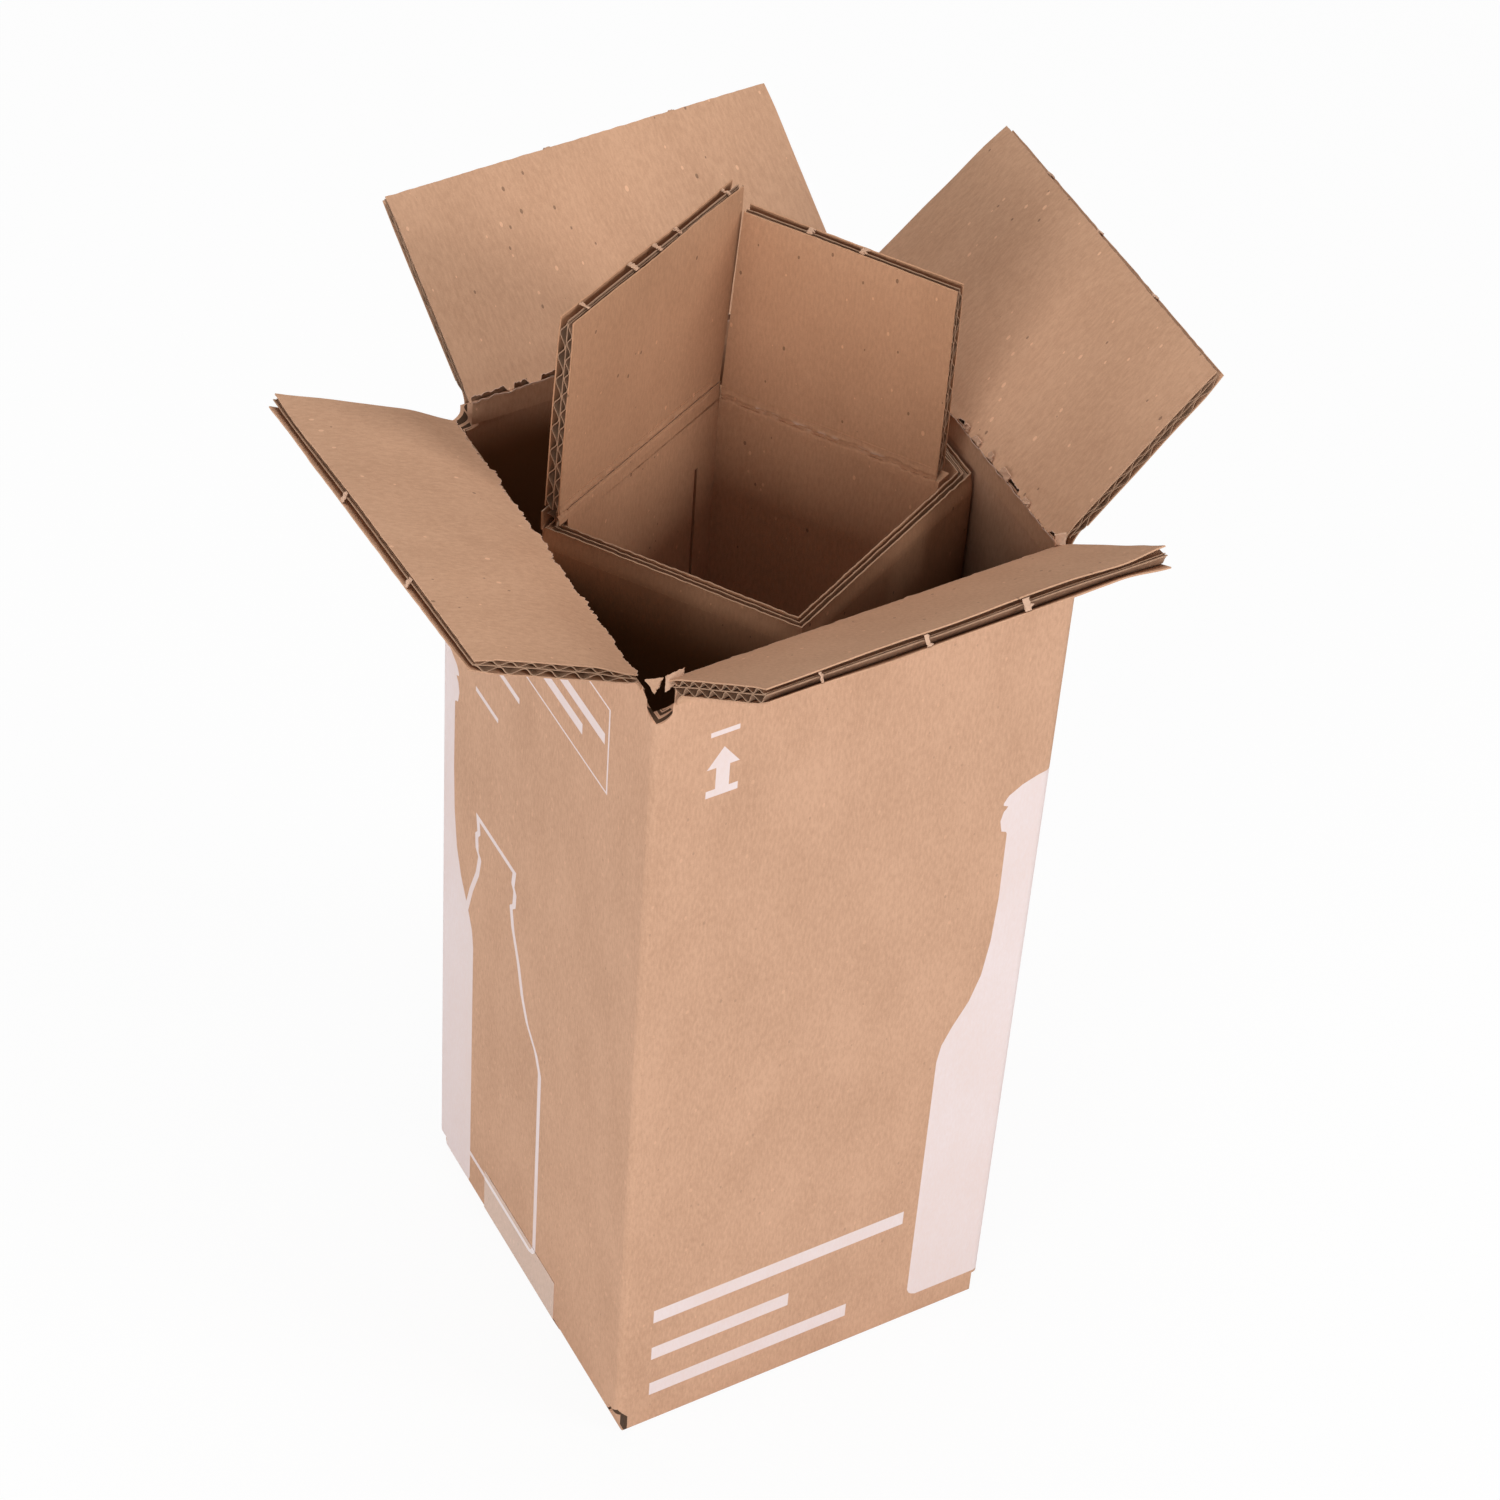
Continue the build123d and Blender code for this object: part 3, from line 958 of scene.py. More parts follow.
    def root(self, ply: Ply, s: float) -> float:
        """Where a ply starts, from the fold.

        Args:
            ply: The ply.
            s: Place along the fold.

        Returns:
            Distance from the fold.
        """
        if ply is Ply.OUTER and self.band_run:
            return self.band_run - self.band_lap
        if ply is not Ply.INNER:
            under = (BOARD.centre(ply) - BOARD.centre(Ply.INNER)) * (1.0 - self.crush / BOARD.thickness)
            start = max(self.fold_gap(ply), self.root_at - self.undercut * under + self.root_gap)
            return start + self.root_rag * rough_line(s, self.seed + 0.3, self.root_rag_step)
        teeth = sum(rough_line(s, self.seed + shift, step) * size for shift, step, size in self.teeth)
        if self.fold is FoldStyle.RAGGED:
            hook = smooth_step(*self.hook_from, rough_line(s, self.seed + 2.0, self.hook_step))
            return self.root_at + self.rag * teeth - self.hook_length * hook
        if self.fold is FoldStyle.SLIT:
            return self.root_at + self.slit_rag * teeth - (self.root_at + self.slit_lap) * self.bridge(s)
        return self.root_at + self.crease_rag * teeth

    def fold_gap(self, ply: Ply) -> float:
        """Where the mitre of the fold lets a ply start, from the fold."""
        return BOARD.centre(ply) * self.mitre + self.root_gap

    def bridge(self, s: float) -> float:
        """How whole the liner is across a slit fold at a place along it, 0 to 1."""
        rough = rough_line(s, self.seed + 3.0, self.bridge_step)
        return smooth_step(self.whole - self.bridge_blur, self.whole + self.bridge_blur, rough)

    def tip(self, ply: Ply, s: float) -> float:
        """Where a ply ends at the free edge, from the fold."""
        rough = rough_line(s, self.seed + 5.0 + BOARD.centre(ply), self.tip_rag_step) * self.tip_rag
        return self.length + self.tip_steps[ply] + rough

    def add_ply(self, mesh: PaperMesh, ply: Ply) -> None:
        """Add one ply of the board.

        Args:
            mesh: The mesh that gets it.
            ply: Which ply.
        """
        waves = {Ply.FINE: self.waves[0], Ply.COARSE: self.waves[1]}.get(ply, 0)
        centre, swing, start = BOARD.centre(ply), BOARD.swing(ply), self.fold_gap(ply)
        pitch = (self.length - start) / waves if waves else 1.0
        phase = self.flute_phases.get(ply, 0.0)
        root_low, root_high = self.root_span
        tip_low, tip_high = self.tip_span

        def shape(u: float, v: float) -> Vector:
            """The point of the ply.

            Args:
                u: Share of its run.
                v: Share of its span.

            Returns:
                The point in millimetres.
            """
            first = self.root(ply, root_low + (root_high - root_low) * v)
            last = self.tip(ply, tip_low + (tip_high - tip_low) * v)
            b = first + (last - first) * (u ** self.root_crowding if ply is Ply.INNER else u)
            low, high = self.span(b)
            s = low + (high - low) * v
            a = centre + swing * math.cos(2.0 * math.pi * ((b - start) / pitch + phase))
            return self.point(b, self.squeeze(a, b, s), s)

        def worn(u: float, v: float) -> float:
            """How torn the ply is.

            Args:
                u: Share of its run.
                v: Share of its span.

            Returns:
                0 for whole to 1 for torn.
            """
            if ply is not Ply.INNER or self.fold is FoldStyle.CREASED or u > 0.001:
                return 0.0
            whole = self.bridge(root_low + (root_high - root_low) * v)
            return 1.0 if self.fold is FoldStyle.RAGGED else 1.0 - whole

        run_steps = waves * self.wave_divisions or self.run_divisions[ply]
        slot = 1 if waves or ply is Ply.MIDDLE else 0
        mesh.sheet(shape, (run_steps, self.side_divisions[ply]), BOARD.paper(ply), worn, slot)

    def add_nick(self, mesh: PaperMesh, share: float, count: int) -> None:
        """Add a torn bridge of paper across the free edge.

        Args:
            mesh: The mesh that gets it.
            share: Its place along the edge, 0 to 1.
            count: Its number, for its shape.
        """
        low, high = self.tip_span
        middle = low + (high - low) * share
        wide = self.nick_half[0] + self.nick_half[1] * rough_line(count * 3.1, self.seed, 1.0)

        def shape(u: float, v: float) -> Vector:
            """The point of the bridge.

            Args:
                u: Share of the board's depth.
                v: Share of its width.

            Returns:
                The point in millimetres.
            """
            rough = rough_line(u * 4.0 + count, self.seed + 9.0, 0.7)
            waist = self.nick_waist[0] + self.nick_waist[1] * rough
            s = middle + (v - 0.5) * 2.0 * wide * waist + self.nick_drift * rough
            depth = BOARD.thickness * (self.nick_depth[0] + self.nick_depth[1] * u)
            uneven = rough_line(v * 3.0 + u * 2.0, self.seed + count, 0.6)
            b = self.length + self.nick_lift[0] + self.nick_lift[1] * uneven
            return self.point(b, self.squeeze(depth, self.length, s), s)

        mesh.sheet(shape, self.nick_steps, self.nick_paper, lambda u, v: self.nick_torn, 0)

    def build(self, liner: bpy.types.Material, flute: bpy.types.Material) -> bpy.types.Object:
        """Make the flap and put it on its body.

        Args:
            liner: The material of the liners.
            flute: The material of the fluting and the middle liner.

        Returns:
            The flap.
        """
        mesh = PaperMesh(f"{self.body}_board")
        for ply in Ply:
            self.add_ply(mesh, ply)
        for count, share in enumerate(self.nicks):
            self.add_nick(mesh, share, count)
        for count, corners in enumerate(self.chips):
            mesh.patch(corners, self.chip_paper, self.chip_torn, self.seed + count)
        piece = mesh.finish([liner, flute])
        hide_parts(self.body)
        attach(piece, self.body)
        return piece

    def rows(self) -> Tuple[Vector, Vector, Vector]:
        """Directions along the fold, through the board and along the fibres."""
        run, normal = self.frame(sum(self.root_span) / 2.0)
        return normal.cross(run), normal, run


@dataclass
class FoldBand:
    """A liner bent across the fold of a carton flap, from the wall to the flap."""

    steps: ClassVar[Tuple[int, int]] = (16, 40)
    flap: Flap
    ply: Ply
    wall_low: float
    inset: float = 0.7

    def build(self, material: bpy.types.Material) -> bpy.types.Object:
        """Make the band.

        Args:
            material: Its paper.

        Returns:
            The band.
        """
        flap, depth = self.flap, BOARD.centre(self.ply)
        low, high = flap.root_span[0] + self.inset, flap.root_span[1] - self.inset

        def wall(s: float, height: float) -> Vector:
            """A point of the ply in the wall."""
            foot = flap.pivot + flap.along * s + flap.lean_side * depth
            return Vector((foot.x, foot.y, height))

        def shape(u: float, v: float) -> Vector:
            """The point of the band.

            Args:
                u: Share of its bend.
                v: Share of its span.

            Returns:
                The point in millimetres.
            """
            s = low + (high - low) * v
            crease = depth * math.tan(flap.lean(s) / 2.0)
            end = flap.point(flap.band_run, flap.squeeze(depth, flap.band_run, s), s)
            start, knee = wall(s, self.wall_low), wall(s, flap.pivot.z - crease)
            return start * (1.0 - u) ** 2 + knee * (2.0 * u * (1.0 - u)) + end * u ** 2

        mesh = PaperMesh(f"{flap.body}_{self.ply.name.lower()}_fold")
        mesh.sheet(shape, self.steps, BOARD.paper(self.ply))
        piece = mesh.finish([material])
        middle = sum(flap.root_span) / 2.0
        end = flap.point(flap.band_run, depth, middle)
        tuple(wall(middle, self.wall_low) * MM)
        tuple(end * MM)
        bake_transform(piece)
        return piece


@dataclass
class CreaseStrip:
    """The inner liner of the insert, whole across a flap's fold, with a pressed crease and torn spots."""

    steps: ClassVar[Tuple[int, int]] = (32, 200)
    paper: ClassVar[float] = 0.1
    wander: ClassVar[Sequence[Tuple[float, float, float]]] = ((4.0, 6.0, 0.5), (6.0, 1.5, 0.4))
    crease_half: ClassVar[float] = 0.7
    ridge_at: ClassVar[float] = 1.4
    ridge_half: ClassVar[float] = 0.75
    ridge_height: ClassVar[float] = 0.22
    ridge_change: ClassVar[Tuple[float, float]] = (0.6, 0.6)
    ridge_step: ClassVar[float] = 2.6
    spot_from: ClassVar[Tuple[float, float]] = (0.2, 0.6)
    spot_step: ClassVar[float] = 4.0
    spot_at: ClassVar[float] = 0.6
    spot_half: ClassVar[float] = 0.7
    bend_reach: ClassVar[float] = 1.5
    flap: Flap
    far_end: float = 0.25
    near_end: float = 0.25
    reach: float = 3.6
    dip: float = 0.75
    lift: float = 0.07

    def build(self, material: bpy.types.Material) -> bpy.types.Object:
        """Make the strip.

        Args:
            material: Its paper.

        Returns:
            The strip.
        """
        flap = self.flap
        low, high = flap.root_span[0] + self.near_end, flap.root_span[1] - self.far_end

        def bump(place: float, half: float) -> float:
            """A soft bump of height 1, from the distance to its middle and its half width."""
            return math.exp(-((place / half) ** 2))

        def shape(u: float, v: float) -> Vector:
            """The point of the strip.

            Args:
                u: Share of its reach.
                v: Share of its span.

            Returns:
                The point in millimetres.
            """
            s = low + (high - low) * v
            b = (2.0 * u - 1.0) * self.reach
            off = sum(size * rough_line(s, flap.seed + shift, step) for shift, step, size in self.wander)
            least, change = self.ridge_change
            ridge = self.ridge_height * bump(b - off - self.ridge_at, self.ridge_half)
            swell = ridge * (least + change * rough_line(s, flap.seed + 8.0, self.ridge_step))
            a = self.dip * bump(b - off, self.crease_half) - self.lift - swell
            return flap.point(b, a, s) if b >= 0.0 else flap.point(0.0, a, s) + UP * b

        def worn(u: float, v: float) -> float:
            """How torn the strip is.

            Args:
                u: Share of its reach.
                v: Share of its span.

            Returns:
                0 for whole to 1 for torn.
            """
            s = low + (high - low) * v
            b = (2.0 * u - 1.0) * self.reach
            spots = smooth_step(*self.spot_from, rough_line(s, flap.seed + 12.0, self.spot_step))
            return spots * bump(b - self.spot_at, self.spot_half)

        mesh = PaperMesh(f"{flap.body}_crease")
        mesh.sheet(shape, self.steps, self.paper, worn)
        piece = mesh.finish([material])
        middle = (low + high) / 2.0
        start, end = (flap.point(way * self.bend_reach, 0.0, middle) for way in (-1.0, 1.0))
        tuple(start * MM)
        tuple(end * MM)
        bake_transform(piece)
        return piece


def copied(node: bpy.types.Object) -> bmesh.types.BMesh:
    """A merged copy of a solid of the frame, with a layer for torn paper.

    Args:
        node: The solid.

    Returns:
        The copy.
    """
    bm = bmesh.new()
    bm.from_mesh(node.data)
    bmesh.ops.remove_doubles(bm, verts=bm.verts[:], dist=MERGE)
    bm.verts.layers.float.new("torn")
    return bm


def cut_levels(bm: bmesh.types.BMesh, levels: Sequence[float]) -> None:
    """Cut level edge loops across a mesh.

    Args:
        bm: The mesh.
        levels: Their heights in millimetres.
    """
    for level in levels:
        geometry = bm.verts[:] + bm.edges[:] + bm.faces[:]
        bmesh.ops.bisect_plane(bm, geom=geometry, dist=CUT_REACH, plane_co=UP * level * MM, plane_no=UP)


def dressed_copy(
    bm: bmesh.types.BMesh, name: str, node: str, body: str, material: bpy.types.Material
) -> bpy.types.Object:
    """Turn a changed copy of a solid into the piece that stands for it.

    Args:
        bm: The changed copy.
        name: The piece's name.
        node: The solid that it replaces.
        body: The body that it rides on.
        material: Its material.

    Returns:
        The piece.
    """
    for face in bm.faces:
        longest = max(edge.calc_length() for edge in face.edges)
        face.smooth = face.calc_area() < longest * NARROW * MM
    mesh = bpy.data.meshes.new(name)
    bm.to_mesh(mesh)
    bm.free()
    stale = mesh.attributes.get("custom_normal")
    if stale:
        mesh.attributes.remove(stale)
    mesh.set_sharp_from_angle(angle=COPY_CREASE)
    mesh.materials.append(material)
    piece = bpy.data.objects.new(name, mesh)
    bpy.context.scene.collection.objects.link(piece)
    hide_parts(node)
    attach(piece, body)
    return piece


@dataclass(frozen=True)
class Softbox:
    """A square soft light. Lengths are in metres and the power is in watts."""

    name: str
    place: Tuple[float, float, float]
    target: Tuple[float, float, float]
    size: float
    power: float

    def hang(self) -> None:
        """Hang the light, facing its target."""
        data = bpy.data.lights.new(self.name, "AREA")
        data.shape = "SQUARE"
        data.size = self.size
        data.energy = self.power
        lamp = bpy.data.objects.new(self.name, data)
        lamp.location = self.place
        facing = Vector(self.target) - Vector(self.place)
        lamp.rotation_euler = facing.to_track_quat("-Z", "Y").to_euler()
        bpy.context.scene.collection.objects.link(lamp)


@dataclass
class Studio:
    """The floor, the light and the camera. Lengths are in metres, the lens and sensor in millimetres."""

    eye: Vector = field(default_factory=lambda: Vector((-0.454858, -0.751683, 1.143313)))
    right: Vector = field(default_factory=lambda: Vector((0.880636, -0.470793, 0.053237)))
    down: Vector = field(default_factory=lambda: Vector((-0.310968, -0.659108, -0.684745)))
    ahead: Vector = field(default_factory=lambda: Vector((0.357462, 0.586456, -0.726835)))
    lens: float = 110.0
    sensor: float = 36.0
    nearest: float = 0.05
    floor_half: float = 4.0
    glow: float = 0.22
    softboxes: Sequence[Softbox] = (
        Softbox("key_softbox", (-1.9, -1.25, 0.65), (0.0, 0.0, 0.2), 1.5, 35.0),
        Softbox("fill_softbox", (1.3, -1.45, 1.05), (0.0, 0.0, 0.25), 0.7, 19.0),
        Softbox("top_softbox", (0.0, 0.1, 2.1), (0.0, 0.0, 0.3), 0.9, 17.0),
    )

    def build(self, palette: Palette) -> None:
        """Make the stage.

        Args:
            palette: The finishes.
        """
        self.add_camera()
        self.add_floor(palette)
        self.add_world()
        for softbox in self.softboxes:
            softbox.hang()

    def add_camera(self) -> None:
        """Set the camera where the picture was taken from."""
        data = bpy.data.cameras.new("camera")
        data.lens = self.lens
        data.sensor_fit = "HORIZONTAL"
        data.sensor_width = self.sensor
        data.clip_start = self.nearest
        camera = bpy.data.objects.new("camera", data)
        turn = Matrix((self.right, -self.down, -self.ahead)).transposed().to_4x4()
        camera.matrix_world = Matrix.Translation(self.eye) @ turn
        bpy.context.scene.collection.objects.link(camera)
        bpy.context.scene.camera = camera

    def add_floor(self, palette: Palette) -> None:
        """Lay the floor.

        Args:
            palette: The finishes.
        """
        bm = bmesh.new()
        bmesh.ops.create_grid(bm, x_segments=2, y_segments=2, size=self.floor_half)
        mesh = bpy.data.meshes.new("floor")
        bm.to_mesh(mesh)
        bm.free()
        mesh.materials.append(palette.floor)
        floor = bpy.data.objects.new("floor", mesh)
        bpy.context.scene.collection.objects.link(floor)

    def add_world(self) -> None:
        """Light the scene from all round; the camera sees white."""
        world = bpy.data.worlds.new("studio")
        bpy.context.scene.world = world
        world.use_nodes = True
        tree = world.node_tree
        tree.nodes.clear()
        output = tree.nodes.new("ShaderNodeOutputWorld")
        soft = tree.nodes.new("ShaderNodeBackground")
        soft.inputs["Strength"].default_value = self.glow
        white = tree.nodes.new("ShaderNodeBackground")
        path = tree.nodes.new("ShaderNodeLightPath")
        mix = tree.nodes.new("ShaderNodeMixShader")
        for shade in (soft, white):
            shade.inputs["Color"].default_value = (1.0, 1.0, 1.0, 1.0)
        tree.links.new(path.outputs["Is Camera Ray"], mix.inputs[0])
        tree.links.new(soft.outputs[0], mix.inputs[1])
        tree.links.new(white.outputs[0], mix.inputs[2])
        tree.links.new(mix.outputs[0], output.inputs["Surface"])


@dataclass
class Carton:
    """The carton: its printed walls, its tape and its four top flaps. Lengths are in millimetres."""

    half_width: float = 62.5
    half_depth: float = 61.5
    fold_height: float = 320.0
    flap_length: float = 60.4
    end_inset: float = 5.3
    outer_drop: float = 5.55
    middle_drop: float = 2.85
    middle_inset: float = 1.4
    left_crush: float = 4.0
    crush_levels: Sequence[float] = (294.0, 299.0, 303.0, 306.0, 309.0, 312.0)
    crush_span: Tuple[float, float] = (295.0, 317.0)
    crush_margin: float = 2.0
    crushed_top: float = 0.15
    front_taper: float = 0.9
    torn_inset: float = 0.6
    torn_depth: float = 9.0
    torn_paper: float = 0.1
    torn_sink: float = 0.05
    back_tear: Tuple[float, float] = (319.3, 322.0)
    right_tear: Tuple[float, float] = (319.0, 318.95)
    torn_teeth: Sequence[Tuple[float, float, float]] = ((0.0, 1.6, 0.45), (1.0, 5.5, 0.5))
    tooth_length: float = 0.7
    tuft_from: Tuple[float, float] = (0.3, 0.5)
    tuft_step: float = 6.0
    tuft_length: float = 0.9
    torn_curl: float = 0.5
    curl_from: float = 0.75
    curl_step: float = 4.0
    torn_steps: Tuple[int, int] = (10, 220)
    torn_share: float = 0.9
    torn_from: float = 0.95
    near_chip: Sequence[Vector] = (
        Vector((-61.9, -53.7, 318.9)), Vector((-57.5, -55.7, 319.5)), Vector((-59.4, -56.6, 317.8)),
        Vector((-60.8, -57.4, 316.4)),
    )
    near_chip_torn: float = 0.12
    front_chip: Sequence[Vector] = (
        Vector((-57.5, -56.6, 320.8)), Vector((-52.7, -57.4, 322.5)), Vector((-53.8, -58.9, 320.8)),
        Vector((-59.0, -59.3, 317.9)),
    )
    right_chip: Sequence[Vector] = (
        Vector((54.8, -57.9, 325.0)), Vector((58.7, -57.6, 324.1)), Vector((59.4, -56.9, 318.6)),
        Vector((56.0, -57.4, 318.8)),
    )
    right_bits: Sequence[Tuple[float, float, float]] = (
        (-9.5, 2.6, 1.6), (-15.5, 3.6, 1.5), (-22.0, 2.0, 2.0), (-30.5, 4.4, 2.2), (-41.0, 3.0, 1.2),
        (2.0, 4.0, 1.2),
    )
    bit_inset: float = 0.3
    bit_sink: float = 0.6
    bit_lean: float = 0.7
    bit_taper: float = 0.8

    def right_chips(self) -> List[Sequence[Vector]]:
        """The torn scraps of liner that stand along the right fold.

        Returns:
            The four corners of each.
        """
        chips: List[Sequence[Vector]] = []
        for s, wide, tall in self.right_bits:
            inner_x = self.half_width - BOARD.thickness
            foot = Vector((inner_x - self.bit_inset, s, self.fold_height - self.bit_sink))
            top = foot + X_AXIS * self.bit_lean + UP * tall
            chips.append((foot, foot + Y_AXIS * wide, top + Y_AXIS * wide * self.bit_taper, top))
        return chips

    def flaps(self) -> List[Flap]:
        """The four top flaps, open as they stand at rest.

        Returns:
            The flaps.
        """
        board = BOARD.thickness
        wide = self.half_width - self.end_inset
        deep = self.half_depth - self.end_inset
        x_in, y_in, top = self.half_width - board, self.half_depth - board, self.fold_height
        span_x, span_y = (-wide, wide), (-deep, deep)
        return [
            Flap(
                "flap_left", Vector((-x_in, 0.0, top)), -X_AXIS, Y_AXIS, angle=63.3,
                length=self.flap_length, root_span=(-53.5, 49.0), tip_span=span_y,
                fold=FoldStyle.RAGGED, seed=3, twist=2.9, rag=0.95, nicks=(0.3, 0.62),
                splay=(0.0, 0.1), root_at=6.6, crush=1.8, crush_run=24.0, undercut=1.32,
            ),
            Flap(
                "flap_front", Vector((0.0, -y_in, top)), -Y_AXIS, X_AXIS, angle=49.1,
                length=self.flap_length, root_span=span_x,
                tip_span=(-wide + self.front_taper, wide - self.front_taper),
                fold=FoldStyle.RAGGED, seed=11, twist=-0.1, nicks=(0.13, 0.39, 0.64),
                splay=(0.0, 0.5), rag=0.4, root_at=-0.5, chips=(self.front_chip,),
            ),
            Flap(
                "flap_back", Vector((0.0, y_in, top)), Y_AXIS, X_AXIS, angle=58.9,
                length=self.flap_length, root_span=span_x, tip_span=span_x,
                fold=FoldStyle.SLIT, seed=17, twist=-0.8, nicks=(0.42, 0.75), root_at=0.9, crush=0.9,
            ),
            Flap(
                "flap_right", Vector((x_in, 0.0, top)), X_AXIS, Y_AXIS, angle=46.0,
                length=self.flap_length, root_span=span_y, tip_span=span_y,
                fold=FoldStyle.SLIT, seed=23, twist=2.6, nicks=(0.3, 0.56, 0.8), root_at=0.35,
                crush=0.6, whole=-0.25, chips=self.right_chips(),
            ),
        ]

    def walls(self, node: bpy.types.Object, material: bpy.types.Material) -> bpy.types.Object:
        """The walls and bottom, with the top of the left wall crushed where its flap has torn open.

        Args:
            node: The frame's solid.
            material: The printed paper.

        Returns:
            The walls.
        """
        bm = copied(node)
        cut_levels(bm, self.crush_levels)
        inner_x = self.half_width - BOARD.thickness
        outer_top = self.fold_height - self.outer_drop
        crush_end = self.half_depth - BOARD.thickness + self.crush_margin
        for vert in bm.verts:
            depth = -vert.co.x / MM - inner_x
            height = vert.co.z / MM
            if depth < -0.01 or abs(vert.co.y / MM) > crush_end:
                continue
            press = self.left_crush * smooth_step(*self.crush_span, height)
            depth += (BOARD.thickness - depth) / BOARD.thickness * press
            vert.co.x = -(inner_x + depth) * MM
            if height > outer_top:
                vert.co.z = (outer_top + (height - outer_top) * self.crushed_top) * MM
        return dressed_copy(bm, "carton_walls", "carton", "box", material)

    def torn_edges(self, material: bpy.types.Material) -> bpy.types.Object:
        """Ragged liner along the tops of the walls, and the scraps that stand at two corners.

        Args:
            material: The liner.

        Returns:
            The torn edges.
        """
        mesh = PaperMesh("wall_torn_edges")
        wide = self.half_width - self.end_inset
        deep = self.half_depth - self.end_inset
        x_in, y_in = self.half_width - BOARD.thickness, self.half_depth - BOARD.thickness
        low = self.fold_height - self.torn_depth
        for inner, along, half, seed, (reach, most) in (
            (Y_AXIS * (y_in - self.torn_paper), X_AXIS, wide, 41.0, self.back_tear),
            (X_AXIS * (x_in - self.torn_paper), Y_AXIS, deep, 43.0, self.right_tear),
        ):

            def shape(u: float, v: float) -> Vector:
                """The point of the edge.

                Args:
                    u: Share of its height.
                    v: Share of its span.

                Returns:
                    The point in millimetres.
                """
                s = (2.0 * v - 1.0) * (half - self.torn_inset)
                teeth = sum(
                    size * rough_line(s, seed + shift, step) for shift, step, size in self.torn_teeth
                )
                tuft = smooth_step(*self.tuft_from, rough_line(s, seed + 2.0, self.tuft_step))
                high = reach + teeth * self.tooth_length + self.tuft_length * tuft
                height = low + (min(high, most) - low) * u
                curl = self.torn_curl * smooth_step(self.curl_from, 1.0, u)
                curl = curl * rough_line(s, seed + 5.0, self.curl_step)
                return inner + along * s + UP * height - inner.normalized() * (self.torn_sink + abs(curl))

            def worn(u: float, v: float) -> float:
                """How torn the edge is: only along its top."""
                return self.torn_share if u > self.torn_from else 0.0

            mesh.sheet(shape, self.torn_steps, self.torn_paper, worn)
        mesh.patch(self.near_chip, BOARD.outer, self.near_chip_torn, 47.0)
        mesh.patch(self.right_chip, Flap.chip_paper, Flap.chip_torn, 23.0)
        piece = mesh.finish([material])
        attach(piece, "box")
        return piece

    def build(self, palette: Palette, nodes: Mapping[str, bpy.types.Object]) -> None:
        """Dress the carton.

        Args:
            palette: The finishes.
            nodes: The frame's own solids.
        """
        report(self.walls(nodes["carton"], palette.carton_paper))
        report(self.torn_edges(palette.flap_paper))
        dress(nodes["tape"], palette.tape)
        for flap in self.flaps():
            liner = Palette.flap.build(flap.rows())
            report(flap.build(liner, palette.flute_paper))
            report(FoldBand(flap, Ply.OUTER, self.fold_height - self.outer_drop).build(liner))
            if not flap.undercut:
                low = self.fold_height - self.middle_drop
                band = FoldBand(flap, Ply.MIDDLE, low, inset=self.middle_inset)
                report(band.build(palette.flute_paper))


